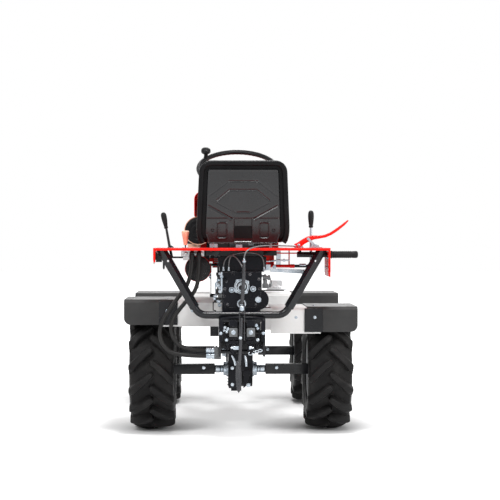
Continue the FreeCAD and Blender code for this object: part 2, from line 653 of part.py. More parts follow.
# ---------------------------------------------------------------- deck
deck_under = "deck_top - deck_sheet"
deck_parts = [
    block("deck_plate", ("-deck_half_width", "deck_half_width"),
          ("deck_rear", "deck_front"), (deck_under, "deck_top")),
    block("deck_rear_lip", ("-deck_half_width", "deck_half_width"),
          ("deck_rear", "deck_rear + deck_sheet"), ("deck_top - deck_lip", "deck_top")),
    block("deck_front_lip_left", ("-deck_half_width", "-support_half_width"),
          ("deck_front - deck_sheet", "deck_front"), ("deck_top - deck_lip", "deck_top")),
    block("deck_front_lip_right", ("support_half_width", "deck_half_width"),
          ("deck_front - deck_sheet", "deck_front"), ("deck_top - deck_lip", "deck_top")),
    profile("deck_left_flange", "YZ", [
        ("deck_rear", "deck_top"), ("deck_rear", "left_flange_bottom + 20"),
        ("deck_rear + 60", "left_flange_bottom"),
        ("deck_front - 160", "left_flange_bottom + 30"), ("deck_front", "deck_top - 25"),
        ("deck_front", "deck_top")], "-deck_half_width", "-deck_half_width + deck_sheet"),
    profile("deck_right_flange", "YZ", [
        ("deck_rear", "deck_top"), ("deck_rear", "right_flange_bottom"),
        ("right_flange_end", "right_flange_bottom + 2"),
        ("right_flange_end", "deck_top - 30"),
        ("deck_front", "deck_top - 25"), ("deck_front", "deck_top")],
        "deck_half_width - deck_sheet", "deck_half_width"),
]
deck_holes = [rod("handle_hole", "handle_radius", "100",
                  ("deck_half_width - 50", "handle_line", "deck_top - handle_drop"), "X")]
for word, across in (("left", "-346"), ("right", "334")):
    deck_holes.append(rod("lever_slot_" + word, "slot_radius", "40",
                          (across, "lever_line", "deck_top - 20")))
node("control_deck", cut("deck_drilled", fuse("deck_solid", deck_parts), deck_holes))

# bar below the deck's right side, for the hand to hold
handle_bar = rod("handlebar_tube", "handle_radius",
                 "deck_half_width + grip_gap + grip_length - 10 - handle_start",
                 ("handle_start", "handle_line", "deck_top - handle_drop"), "X")
handle_clips = [block("handle_clip_%d" % number, (left, left + " + 8"),
                      ("handle_line - 8", "handle_line + 8"),
                      ("deck_top - handle_drop", deck_under))
                for number, left in enumerate(("handle_start + 12", "deck_half_width - 30"))]
grip_start = "(deck_half_width + grip_gap)"
handle_grip = cut("handle_grip_bored", rod(
    "handle_grip_solid", "grip_radius", "grip_length",
    (grip_start, "handle_line", "deck_top - handle_drop"), "X"), [
        rod("handle_grip_bore", "handle_radius", "grip_length - 10",
            (grip_start, "handle_line", "deck_top - handle_drop"), "X")])
node("seat_support", fuse("seat_support_solid", [
    handle_bar, *handle_clips,
    block("support_top", ("-support_half_width", "support_half_width"),
          ("support_rear", "support_front"),
          (deck_under + " - support_thickness", deck_under)),
    block("support_neck", ("-neck_half_width", "neck_half_width"),
          ("support_rear - 30", "case_front"), ("case_top", deck_under)),
    block("support_front_rise", ("-neck_half_width", "neck_half_width"),
          ("deck_front", "support_front"), (deck_under, "deck_top")),
]))

# ---------------------------------------------------------------- mudguards and panels
def guard_outline(inset):
    """Side view of a mudguard, shrunk by a wall thickness."""
    return [
        ("guard_flap + %s" % inset, "guard_bottom - 10 * (%s)" % inset),
        ("guard_flap + %s" % inset, "guard_top - 14 - %s / 2" % inset),
        ("guard_flap + 14 + %s / 2" % inset, "guard_top - %s" % inset),
        ("guard_front - 40 - %s / 2" % inset, "guard_top - %s" % inset),
        ("guard_front - %s" % inset, "guard_top - 30 - %s" % inset),
        ("guard_front - %s" % inset, "guard_bottom - 10 * (%s)" % inset),
    ]


def mudguard(label, side, shift, drop, outer):
    """Box-like guard: flap, top, sloped front and a shallow outer skirt."""
    edges = sorted([side * size("guard_inner"), side * size(outer)])
    shell = profile(label + "_outside", "YZ", guard_outline("0"),
                    str(edges[0]), str(edges[1]))
    inner = sorted([side * (size("guard_inner") - 10),
                    side * (size(outer) - size("guard_sheet"))])
    hollow = profile(label + "_inside", "YZ", guard_outline("guard_sheet"),
                     str(inner[0]), str(inner[1]))
    below = block(label + "_below", (str(edges[0] - 1), str(edges[1] + 1)),
                  ("guard_flap + guard_sheet", "guard_front + 10"),
                  ("guard_bottom - 60", "guard_skirt"))
    ahead = block(label + "_ahead", (str(edges[0] - 1), str(edges[1] + 1)),
                  ("guard_front - guard_sheet - 1", "guard_front + 10"),
                  ("guard_bottom - 60", "guard_skirt + 14"))
    corner_box = block(label + "_corner_box",
                       tuple(sorted(("%d * %s" % (side, outer),
                                     "%d * (%s - guard_corner)" % (side, outer)), key=size)),
                       ("guard_flap - 1", "guard_flap + guard_sheet + 0.5"),
                       ("guard_bottom - 1", "guard_bottom + guard_corner"))
    corner_disc = rod(label + "_corner_disc", "guard_corner", "guard_sheet + 4",
                      ("%d * (%s - guard_corner)" % (side, outer), "guard_flap - 2",
                       "guard_bottom + guard_corner"), "Y")
    corner = cut(label + "_corner", corner_box, [corner_disc])
    piece = cut(label + "_made", shell, [hollow, below, ahead, corner])
    bind(piece, "Placement.Base.y", shift)
    bind(piece, "Placement.Base.z", "-(%s)" % drop)
    return piece


def guard_panel(label, side, inner, shift, drop):
    """Light sheet between the mudguard and the machine's middle."""
    span = tuple(sorted(("%d * %s" % (side, inner), "%d * panel_outer" % side), key=size))
    rear, top = "guard_flap + guard_sheet", "guard_top - guard_sheet"
    piece = profile(label + "_sheet", "YZ", [
        (rear, "panel_bottom"), (rear, top + " - 12"), (rear + " + 12", top),
        ("guard_front - 42", top), ("guard_front - 42", top + " - panel_sheet"),
        (rear + " + 13", top + " - panel_sheet"), (rear + " + panel_sheet", top + " - 13"),
        (rear + " + panel_sheet", "panel_bottom")], *span)
    bind(piece, "Placement.Base.y", shift)
    bind(piece, "Placement.Base.z", "-(%s)" % drop)
    return piece


for end_word, shift in (("rear", "0"), ("front", "front_guard_shift")):
    guards, panels = [], []
    for side_word, side in (("left", -1), ("right", 1)):
        if end_word == "front":
            drop, outer = "front_guard_drop", "front_guard_outer"
        else:
            drop, outer = "right_guard_drop" if side > 0 else "0", "guard_outer"
        guards.append(mudguard("%s_mudguard_%s" % (end_word, side_word), side, shift,
                               drop, outer))
        if end_word == "front":
            inner = "(rail_outer + 2)"
        else:
            inner = "panel_inner_right" if side > 0 else "panel_inner_left"
        panels.append(guard_panel("%s_panel_%s" % (end_word, side_word), side, inner,
                                  shift, drop))
    node(end_word + "_mudguards", fuse(end_word + "_mudguard_pair", guards))
    node(end_word + "_panels", fuse(end_word + "_panel_pair", panels))

panel_under = "guard_top - guard_sheet - panel_sheet"
straps = []
for side_word, side, drop in (("left", -1, "0"), ("right", 1, "right_guard_drop")):
    strap = tuple(sorted(("%d * 302" % side, "%d * 391" % side), key=size))
    straps.append(block("guard_strap_" + side_word, strap, ("guard_flap - 2", "guard_flap"),
                        ("guard_bottom - " + drop, "guard_top - 8 - " + drop)))
node("rear_guard_beams", cut("rear_beams_fitted", fuse("rear_beams", [
    block("rear_beam_left", ("-guard_outer + 30", "case_left"),
          ("beam_rear", "beam_rear + beam_side"),
          (panel_under + " - beam_side", panel_under)),
    block("rear_beam_right", ("case_right", "guard_outer - 30"),
          ("beam_rear", "beam_rear + beam_side"),
          (panel_under + " - beam_side - right_guard_drop",
           panel_under + " - right_guard_drop")),
] + straps), [upper_case]))
front_beams = []
for side_word, side in (("left", -1), ("right", 1)):
    span = tuple(sorted(("%d * rail_inner" % side, "%d * (guard_outer - 30)" % side),
                        key=size))
    foot = tuple(sorted(("%d * rail_inner" % side, "%d * rail_outer" % side), key=size))
    beam_y = ("beam_rear + front_guard_shift", "beam_rear + front_guard_shift + beam_side")
    beam_top = panel_under + " - front_guard_drop"
    front_beams.append(block("front_beam_" + side_word, span, beam_y,
                             (beam_top + " - beam_side", beam_top)))
    front_beams.append(block("front_beam_post_" + side_word, foot, beam_y,
                             ("rail_top", beam_top)))

# ---------------------------------------------------------------- front frame
sleeve = rod("sleeve", "sleeve_radius", "sleeve_front - sleeve_rear",
             ("0", "sleeve_rear", "spine_height"), "Y")
plate_front_end = "(rail_front + cross_plate)"
rails = [block("rail_" + word, pair, ("sleeve_front", "rail_front"),
               ("rail_bottom", "rail_top"))
         for word, pair in (("left", ("-rail_outer", "-rail_inner")),
                            ("right", ("rail_inner", "rail_outer")))]
hinge_parts = [rod("hinge_pin", "hinge_pin_radius", "380",
                   ("-190", "hinge_forward", "hinge_height"), "X")]
for word, side in (("left", -1), ("right", 1)):
    span = tuple(sorted(("%d * (rail_outer - hinge_post)" % side, "%d * rail_outer" % side),
                        key=size))
    hinge_parts.append(block("hinge_post_" + word, span,
                             ("hinge_forward - 20", "hinge_forward + 5"),
                             ("rail_top", "hinge_height + 14")))
bumper = [
    block("bumper_plate", ("-bumper_half_width", "bumper_half_width"),
          (plate_front_end, plate_front_end + " + 8"), ("420", "560")),
    block("bumper_bar", ("-bumper_half_width", "bumper_half_width"),
          (plate_front_end + " + 8", "bumper_front"), ("460", "500")),
]
bumper_holes = [rod("bumper_hole_%d" % number, "bumper_hole_radius", "40",
                    (x, "rail_front", z), "Y")
                for number, (x, z) in enumerate([
                    (x, z) for x in ("-bumper_hole_across", "bumper_hole_across")
                    for z in ("435", "545")])]
node("front_chassis", cut("front_chassis_bored", fuse("front_chassis_solid", [
    sleeve,
    block("sleeve_plate", ("-rail_outer", "rail_outer"), ("sleeve_front - cross_plate",
                                                         "sleeve_front"), ("400", "rail_top")),
    block("axle_plate", ("-rail_outer", "rail_outer"), ("450", "600"),
          ("rail_bottom", "rail_bottom + cross_plate")),
    block("front_plate", ("-rail_outer", "rail_outer"), ("rail_front",
                                                        "rail_front + cross_plate"),
          ("rail_bottom - 40", "rail_top")),
] + rails + front_beams + hinge_parts + bumper), bumper_holes + [
    rod("spindle_bore", "spindle_radius + running_gap", "400",
        ("0", "-100", "spine_height"), "Y")]))
node("front_axle_case", cut("front_axle_bored", fuse("front_axle_solid", [
    rod("front_axle_barrel", "axle_case_radius", "2 * axle_case_half_width",
        ("-axle_case_half_width", FRONT_AXLE, "axle_height"), "X"),
    block("front_axle_leg", ("-leg_half_width", "leg_half_width"), ("465", "585"),
          ("axle_height", "rail_bottom")),
]), [axle_bore("front_bore", FRONT_AXLE)]))
bearing_caps("front_bearing_caps", FRONT_AXLE)

node("engine", fuse("engine_solid", [
    block("engine_feet", ("-rail_outer", "rail_outer"), ("engine_rear + 130",
                                                        "engine_front - 20"),
          ("rail_top", "rail_top + engine_foot")),
    block("crankcase", ("-engine_half_width", "engine_half_width"),
          ("engine_rear", "engine_front"), ("rail_top + engine_foot", "crankcase_top")),
    block("engine_block", ("-engine_half_width + 10", "engine_half_width - 10"),
          ("engine_rear + 40", "engine_front - 160"), ("crankcase_top", "engine_top")),
    rod("flywheel", "flywheel_radius", "38", ("engine_half_width", "pulley_along",
                                             "pulley_height"), "X"),
    rod("belt_pulley", "65", "30", ("-engine_half_width - 8", "pulley_along - 40",
                                    "pulley_height + 10"), "X"),
    rod("oil_filler", "18", "26", ("-60", "engine_front - 60", "crankcase_top")),
    block("radiator", ("-radiator_half_width", "radiator_half_width"),
          ("radiator_rear", "radiator_front"),
          ("rail_top", "radiator_top")),
    rod("radiator_hose_top", "18", "radiator_rear - engine_front + 180",
        ("40", "engine_front - 170", "engine_top - 60"), "Y"),
]))
node("exhaust", fuse("exhaust_solid", [
    rod("muffler", "muffler_radius", "muffler_length",
        ("muffler_across", "muffler_rear", "muffler_height"), "Y"),
    rod("muffler_port", "port_radius", "muffler_across - engine_half_width + 10",
        ("engine_half_width - 10", "cleaner_pipe_along", "muffler_height"), "X"),
    rod("tail_pipe", "tail_radius", "tail_length",
        ("muffler_across", "muffler_rear - 35", "muffler_height"), "Y"),
]))

# round air cleaner in the hood's left notch
node("air_cleaner", fuse("air_cleaner_solid", [
    rod("air_can", "cleaner_radius", "cleaner_length",
        ("-cleaner_across", "cleaner_rear", "cleaner_height"), "Y"),
    rod("air_can_cap", "cleaner_cap_radius", "cleaner_cap",
        ("-cleaner_across", "cleaner_rear - cleaner_cap", "cleaner_height"), "Y"),
    rod("air_pipe", "cleaner_pipe_radius", "cleaner_across - engine_half_width + 10",
        ("-cleaner_across", "cleaner_pipe_along", "cleaner_height"), "X"),
    rod("air_bowl", "bowl_radius", "bowl_length",
        ("bowl_across", "bowl_along", "cleaner_height - bowl_drop")),
]))


# ---------------------------------------------------------------- hood
def hood_section(inset):
    """Front view of the hood with its two round upper corners."""
    half, top = "hood_half_width - %s" % inset, "hood_top - %s" % inset
    radius = "(hood_round - %s)" % inset
    points = [("-(%s)" % half, "hood_bottom")]
    for side in (-1, 1):
        turns = range(0, 91, 15) if side < 0 else range(90, -1, -15)
        for turn in turns:
            points.append((
                "%d * (%s - %s + %s * cos(%d))" % (side, half, radius, radius, turn),
                "%s - %s + %s * sin(%d)" % (top, radius, radius, turn)))
    points.append((half, "hood_bottom"))
    return points


hood_skin = profile("hood_skin", "XZ", hood_section("0"), "hood_rear", "hood_front")
hood_hollow = profile("hood_hollow", "XZ", hood_section("hood_sheet"),
                      "hood_rear - 10", "hood_front - hood_sheet")
under = block("hood_under", ("-400", "400"), ("hood_rear - 20", "hood_front - hood_sheet"),
              ("hood_bottom - 50", "hood_bottom"))
side_cut = block("hood_side_cut", ("-400", "400"), ("hood_rear - 20", "hood_front - 40"),
                 ("hood_bottom - 20", "hood_side_bottom"))
reliefs = [block("hood_relief_" + word, pair, ("hood_front - 10", "hood_front + 10"),
                 ("hood_bottom - 10", "hinge_height + 18"))
           for word, pair in (("left", ("-rail_outer - 6", "hinge_post + 6 - rail_outer")),
                              ("right", ("rail_outer - hinge_post - 6", "rail_outer + 6")))]
notches = [block("hood_notch_" + word, pair, ("hood_rear - 5", "notch_front"),
                 ("hood_bottom - 5", "notch_top"))
           for word, pair in (("left", ("-300", "-200")), ("right", ("200", "300")))]
lugs = [block("hood_lug_" + word, pair, ("hinge_forward - 15", "hood_front - 1"),
              ("hood_bottom", "hinge_height + 20"))
        for word, pair in (("left", ("-176", "-170")), ("right", ("170", "176")))]
slots = [block("grille_slot_%d" % number, ("-grille_half_width", "grille_half_width"),
               ("hood_front - 10", "hood_front + 10"),
               ("grille_bottom + %d * grille_pitch" % number,
                "grille_bottom + %d * grille_pitch + grille_slot" % number))
         for number in range(int(size("grille_count")))]
lug_bore = rod("hood_lug_bore", "hinge_pin_radius + running_gap", "400",
               ("-200", "hinge_forward", "hinge_height"), "X")
node("hood", cut("hood_bored", fuse("hood_solid", [
    cut("hood_shell", hood_skin, [hood_hollow, under, side_cut] + notches + reliefs + slots)] + lugs),
    [lug_bore]))
node("headlamps", fuse("headlamp_pair", [
    rod("headlamp_" + word, "lamp_radius", "lamp_depth", (at, "hood_front", "lamp_height"),
        "Y") for word, at in (("left", "-lamp_across"), ("right", "lamp_across"))]))
# ---------------------------------------------------------------- foot plates
foot_plates = []
for word, side, drop in (("left", -1, "left_foot_drop"), ("right", 1, "0")):
    span = sorted([side * size("foot_inner"), side * size("foot_outer")])
    plate = profile("foot_sheet_" + word, "YZ", [
        ("foot_rear", "foot_low"), ("foot_rear + 110", "foot_low"),
        ("foot_front", "foot_high"), ("foot_front", "foot_high + foot_sheet"),
        ("foot_rear + 109", "foot_low + foot_sheet"),
        ("foot_rear", "foot_low + foot_sheet")], str(span[0]), str(span[1]))
    bind(plate, "Placement.Base.z", "-(%s)" % drop)
    foot_plates.append(plate)
node("foot_plates", fuse("foot_plate_pair", foot_plates))

# ---------------------------------------------------------------- steering
tilt = math.radians(size("wheel_tilt"))
down = (0, math.sin(tilt), -math.cos(tilt))


def on_column(distance):
    """A point below the steering wheel's centre, along its axis."""
    return ("0", str(size("wheel_forward") + down[1] * distance),
            str(size("wheel_height") + down[2] * distance))


def wheel_disc(name, radius, start, end):
    return strut(name, radius, on_column(start), on_column(end))


head = [float(text) for text in on_column(size("wheel_hub_drop + column_length"))[1:]]
across = (math.cos(tilt) * 42, math.sin(tilt) * 42)
column = cut("column_bored", wheel_disc(
    "column_outer", "column_radius", size("wheel_hub_drop") + 2,
    size("wheel_hub_drop + column_length") + 10), [wheel_disc(
        "column_bore", "9 + running_gap", size("wheel_hub_drop"),
        size("wheel_hub_drop + column_length"))])
pedals = [rod("pedal_shaft", "8", "2 * pedal_outer", ("-pedal_outer", "-70", "pedal_height"),
              "X")]
pedal_middle = "(pedal_inner + pedal_outer) / 2"
for word, side in (("left", -1), ("right", 1)):
    arm = tuple(sorted(("%d * (%s - 5)" % (side, pedal_middle),
                        "%d * (%s + 5)" % (side, pedal_middle)), key=size))
    pad = tuple(sorted(("%d * pedal_inner" % side, "%d * pedal_outer" % side), key=size))
    pedals += [block("pedal_arm_" + word, arm, ("-108", "-66"),
                     ("pedal_height - 5", "pedal_height + 25")),
               block("pedal_pad_" + word, pad, ("-112", "-104"),
                     ("pedal_height + 8", "pedal_height + 70"))]
node("steering_tower", fuse("tower_solid", pedals + [column,
    profile("tower_body", "YZ", [
        ("web_front - 14", "jaw_upper + jaw_thickness"),
        ("web_front + 5", "jaw_upper + jaw_thickness"), ("-45", "700"), ("40", "930"),
        (str(head[0] + across[0] * 0.4), str(head[1] + across[1] * 0.4)),
        (str(head[0] - across[0]), str(head[1] - across[1])),
        ("-40", "960"), ("web_front - 24", "700")],
        "-tower_half_width", "tower_half_width"),
    block("tower_base", ("-tower_half_width", "tower_half_width"),
          ("web_front - 60", "web_front + 5"),
          ("jaw_upper + jaw_thickness", "jaw_upper + jaw_thickness + 8")),
]))
ring = doc.addObject("Part::Torus", "wheel_ring")
bind(ring, "Radius1", "wheel_radius")
bind(ring, "Radius2", "wheel_grip_radius")
ring.Placement.Rotation = FreeCAD.Rotation(ALONG_X, -size("wheel_tilt"))
turn_back = FreeCAD.Rotation(ALONG_X, size("wheel_tilt"))
ring.Placement.Rotation = turn_back
set_base(ring, ("0", "wheel_forward", "wheel_height"))
spokes = []
for number, angle in enumerate((90, 210, 330)):
    spot = FreeCAD.Vector(math.cos(math.radians(angle)), math.sin(math.radians(angle)), 0)
    tip = turn_back.multVec(spot * (size("wheel_radius") - 5))
    spokes.append(strut("wheel_spoke_%d" % number, "7",
                        on_column(size("wheel_hub_drop") - 12),
                        (str(tip.x), "wheel_forward + %f" % tip.y,
                         "wheel_height + %f" % tip.z)))
stem_way = turn_back.multVec(FreeCAD.Vector(-0.82, 0.5723, 0)) * size("wheel_radius")
lift = turn_back.multVec(UP)
stem_foot = [str(stem_way.x + lift.x * 8), "wheel_forward + %f" % (stem_way.y + lift.y * 8),
             "wheel_height + %f" % (stem_way.z + lift.z * 8)]
stem_mid = [str(stem_way.x + lift.x * 38), "wheel_forward + %f" % (stem_way.y + lift.y * 38),
            "wheel_height + %f" % (stem_way.z + lift.z * 38)]
stem_top = [str(stem_way.x + lift.x * 68), "wheel_forward + %f" % (stem_way.y + lift.y * 68),
            "wheel_height + %f" % (stem_way.z + lift.z * 68)]
node("steering_wheel", fuse("steering_wheel_solid", [
    ring,
    wheel_disc("wheel_hub", "wheel_hub_radius", size("wheel_hub_drop") - 30,
               size("wheel_hub_drop")),
    wheel_disc("wheel_stub", "9", size("wheel_hub_drop") - 2,
               size("wheel_hub_drop + column_length") - 4),
    strut("knob_stem", "9", stem_foot, stem_mid),
    strut("knob_head", "26", stem_mid, stem_top),
] + spokes))

# ---------------------------------------------------------------- seat
BACK_HEIGHT = "(seat_back_top - seat_bottom)"


def lean(thing):
    """Tip a piece drawn upright about the seat back's lower edge."""
    thing.Placement.Rotation = FreeCAD.Rotation(ALONG_X, 1)
    bind(thing, "Placement.Rotation.Angle", "seat_recline")
    set_base(thing, ("seat_across", "seat_back_line", "seat_bottom"))
    return thing


def back_outline(inset, foot):
    """Seat back seen from behind: narrow foot, straight sides, round top corners."""
    right = [("seat_half_width - 16 - %s" % inset, foot),
             ("seat_half_width - %s" % inset, "45")]
    middle = "(seat_top_half_width - seat_corner)"
    for turn in range(0, 91, 18):
        right.append(("%s + (seat_corner - %s) * cos(%d)" % (middle, inset, turn),
                      "%s - seat_corner + (seat_corner - %s) * sin(%d)"
                      % (BACK_HEIGHT, inset, turn)))
    return right + [("-(%s)" % across, height) for across, height in reversed(right)]


def pressed(name, corners, start, end):
    """A raised panel of the seat's steel back, given by its right-hand corners."""
    outline = corners + [("-(%s)" % across, height) for across, height in reversed(corners)]
    return profile(name, "XZ", outline, start, end)


back_plate = lean(fuse("back_plate", [
    profile("back_sheet", "XZ", back_outline("seat_pan_inset", "0"), "0", "seat_shell"),
    pressed("back_octagon", [("50", "118"), ("163", "181"), ("163", "226"), ("68", "298")],
            "-emboss", "1"),
    pressed("back_hexagon", [("31", "146"), ("125", "206"), ("65", "257")],
            "-2 * emboss", "1"),
    pressed("back_channel", [("40", "12"), ("40", "119")], "-emboss", "1"),
]))
foot_half = "(seat_half_width - seat_pan_inset)"
base_plate = profile("base_sheet", "YZ", [
    ("seat_front", "seat_bottom + 34"), ("seat_front - 14", "seat_bottom + 20"),
    ("seat_back_line + 60", "seat_bottom"), ("seat_back_line", "seat_bottom"),
    ("seat_back_line", "seat_bottom + seat_shell"),
    ("seat_back_line + 60", "seat_bottom + seat_shell"),
    ("seat_front - 16", "seat_bottom + 20 + seat_shell"),
    ("seat_front - seat_shell", "seat_bottom + 35")],
    "seat_across - %s + 16" % foot_half, "seat_across + %s - 16" % foot_half)
node("seat_pan", fuse("seat_pan_solid", [back_plate, base_plate]))
node("seat_back_cushion", lean(cut("back_cushion_made", profile(
    "back_cushion_block", "XZ", back_outline("0", "rim_foot"), "-rim_depth",
    "back_cushion_front"), [
        profile("back_pocket", "XZ", back_outline("seat_rim", "-10"), "-rim_depth - 5",
                "seat_shell"),
        block("back_cushion_gap", ("-seat_half_width - 5", "seat_half_width + 5"),
              ("seat_shell", "back_cushion_front + 5"), ("-10", "back_cushion_foot"))])))
node("seat_cushion", profile("cushion_side", "YZ", [
    ("seat_front - 16", "seat_bottom + 20 + seat_shell"),
    ("seat_back_line + 60", "seat_bottom + seat_shell"),
    ("seat_back_line + 12", "seat_bottom + seat_shell"),
    ("seat_back_line + 12", "seat_bottom + back_cushion_foot - 6"),
    ("seat_back_line + back_cushion_front - 4", "seat_bottom + back_cushion_foot - 6"),
    ("seat_back_line + back_cushion_front + 4", "seat_bottom + cushion_height"),
    ("seat_front - 30", "seat_bottom + cushion_height + 22"),
    ("seat_front", "seat_bottom + cushion_height - 6"),
    ("seat_front + 4", "seat_bottom + 38"),
    ("seat_front - seat_shell", "seat_bottom + 35")],
    "seat_across - seat_half_width + cushion_inset",
    "seat_across + seat_half_width - cushion_inset"))
node("seat_springs", fuse("seat_springs_solid", [
    rod("spring_%d" % number, "18", "seat_bottom - deck_top", (x, "-715", "deck_top"))
    for number, x in enumerate(("-110", "110"))] + [
    block("seat_slide_" + word, pair, ("-690", "-640"), ("deck_top", "seat_bottom + 1"))
    for word, pair in (("left", ("-150", "-120")), ("right", ("120", "150")))]))

# ---------------------------------------------------------------- levers and links
LINE = "lever_line"


def upright(name, radius, levels, start, slope):
    """A round bar in the levers' plane, from one level up to another."""
    return strut(name, radius, *[
        (str(start[0] + slope * (level - start[1])), LINE, str(level)) for level in levels])


left_axis = (-347, 884), -0.21
right_axis = (336, 790), -0.023
node("left_lever", fuse("left_lever_solid", [
    upright("left_rod", "lever_radius", (843, 996), *left_axis),
    rod("left_cross_rod", "5", "valve_left + 340", ("-340", LINE, "847"), "X"),
    rod("orange_stub", "6", "13", ("-266", LINE, "deck_top")),
]))
node("right_lever", fuse("right_lever_solid", [
    upright("right_rod", "lever_radius", (790, 1000), *right_axis),
    rod("right_boss", "10", "17", ("326", LINE, "810"), "X"),
    block("right_bracket", ("342", "347"), ("-745", "-705"), ("790", "deck_top - deck_sheet")),
]))
node("hand_grips", fuse("grips", [
    handle_grip,
    upright("left_grip", "lever_grip_radius", (996, 1064), *left_axis),
    upright("right_grip", "lever_grip_radius", (1000, 1072), *right_axis),
]))
cone = doc.addObject("Part::Cone", "orange_cone")
for prop, text in (("Radius1", "9"), ("Radius2", "19"), ("Height", "70")):
    bind(cone, prop, text)
set_base(cone, ("-266", LINE, "deck_top + 13"))
node("orange_lever", cone)
node("hand_lever", fuse("hand_lever_solid", [
    profile("hand_lever_sheet", "XZ", [
        ("271", "905"), ("277", "893"), ("319", "923"), ("355", "959"), ("403", "959"),
        ("451", "977"), ("517", "1030"), ("517", "1034"), ("451", "995"), ("415", "977"),
        ("367", "971"), ("337", "959"), ("319", "947")], "hand_line - 2.5", "hand_line + 2.5"),
    block("hand_lever_foot", ("248", "290"), ("hand_line - 20", "hand_line + 20"),
          ("deck_top", "deck_top + 6")),
    block("ear_rear", ("270", "286"), ("hand_line - 10", "hand_line - 5"),
          ("deck_top", "912")),
    block("ear_front", ("270", "286"), ("hand_line + 5", "hand_line + 10"),
          ("deck_top", "912")),
    rod("ear_pin", "4", "20", ("278", "hand_line - 10", "900"), "Y"),
    block("cable_stop", ("248", "264"), ("hand_line - 20", "hand_line - 10"),
          ("deck_top", "908")),
    rod("cable_stop_gland", "5", "24", ("256", "hand_line - 43", "899"), "Y"),
]))
zinc_bar = profile("zinc_bar", "XZ", [
    ("142", "776"), ("330", "765"), ("330", "786"), ("142", "793")], "-723", "-718")
node("zinc_links", fuse("zinc_link_set", [
    fuse("case_link", [block("case_bracket", ("neck_half_width", "142"), ("-730", "-712"),
                             ("case_top + 4", "812")), zinc_bar]),
    block("zinc_stay", ("169", "191"), ("-726", "-721"), ("812", "deck_top - deck_sheet")),
    profile("lever_link", "XZ", [
        ("316", "929"), ("326", "939"), ("366", "897"), ("353", "897")],
        "hand_line + 2.5", "hand_line + 6.5"),
    block("link_bracket", ("350", "388"), ("hand_line - 10", "hand_line + 10"),
          ("deck_top", "897")),
]))
node("red_links", fuse("red_link_set", [
    rod("red_rod", "7.5", "93", ("142", LINE, "804"), "X"),
    rod("red_collar", "9", "22", ("235", LINE, "804"), "X"),
    rod("red_wire", "3", "280 - support_half_width", ("support_half_width", "-740", "866"),
        "X"),
    rod("red_wire_stay_0", "3", "deck_top - deck_sheet - 808", ("231", "-728", "808")),
    rod("red_wire_stay_1", "3", "deck_top - deck_sheet - 866", ("277", "-740", "866")),
]))
node("black_link", rod("black_link_rod", "7", "326 - 257", ("257", LINE, "804"), "X"))

# ---------------------------------------------------------------- hydraulics
deck_below = "deck_top - deck_sheet"
node("hydraulic_valve", fuse("valve_solid", [
    block("valve_body", ("valve_left", "valve_right"), ("valve_rear", "valve_front"),
          ("valve_bottom", deck_below)),
    rod("valve_spool", "12", "20", ("-266", "valve_rear - 14", "848"), "Y"),
    block("filter_head", ("-250", "-194"), ("filter_rear + 6", "filter_front - 6"),
          ("filter_height", deck_below)),
    rod("filter_bowl", "filter_radius", "filter_front - filter_rear",
        ("filter_across", "filter_rear", "filter_height"), "Y"),
    block("valve_bridge", ("-250", "-194"), ("valve_front - 1", "filter_rear + 8"),
          ("845", deck_below)),
]))
glands = [
    block("hose_block", ("-132", "-hitch_half_width"), ("-900", "-850"), ("372", "428")),
    rod("ferrule_low", "ferrule_radius", "-132 - coupling_across",
        ("coupling_across", "coupling_line", "coupling_low"), "X"),
    rod("ferrule_high", "ferrule_radius", "-132 - coupling_across",
        ("coupling_across", "coupling_line", "coupling_high"), "X"),
]
for word in ("port_left", "port_right"):
    glands += [
        rod(word + "_stub", "8", "valve_rear - port_line", (word, "port_line",
                                                         "port_height"), "Y"),
        rod(word + "_ferrule", "ferrule_radius", "port_height + 9 - hose_start",
            (word, "port_line", "hose_start"))]
for name, at, axis in (("gland_a", ("-85", "-850", "case_top"), "Z"),
                       ("gland_b", ("-60", "-850", "case_top"), "Z"),
                       ("gland_c", ("106", "-850", "case_top"), "Z")):
    glands.append(rod(name, "5", "15", at, axis))
glands.append(rod("gland_d", "5", "12", ("9", "lever_rear + lever_bar", "790"), "Y"))
glands.append(rod("gland_e", "4", "12", ("9", "lever_rear + lever_bar / 2", "lever_top")))
node("hose_fittings", fuse("fitting_set", glands))

HOSE_OUTER = [(-233, -850, 840), (-233, -850, 738), (-321, -866, 631), (-388, -872, 520),
              (-374, -875, 439), (-311, -875, 386), (-160, -875, 386)]
HOSE_INNER = [(-200, -850, 840), (-200, -850, 765), (-214, -860, 690), (-278, -869, 622),
              (-334, -873, 546), (-325, -874, 467), (-265, -875, 414), (-160, -875, 414)]
CABLE_LEFT = [(-85, -850, 795), (-85, -850, 845), (-15, -850, 868), (35, -850, 871),
              (82, -850, 864), (106, -850, 838), (106, -850, 795)]
CABLE_MIDDLE = [(-60, -850, 795), (-60, -850, 838), (-42, -882, 862), (-12, -915, 832),
                (9, -945, 790), (9, -985, 790)]
CABLE_RIGHT = [(9, -1001, 837), (9, -1001, 870), (42, -981, 894), (92, -955, 903),
               (142, -930, 903), (190, -905, 902), (232, -872, 901), (256, -833, 899),
               (256, -788, 899)]


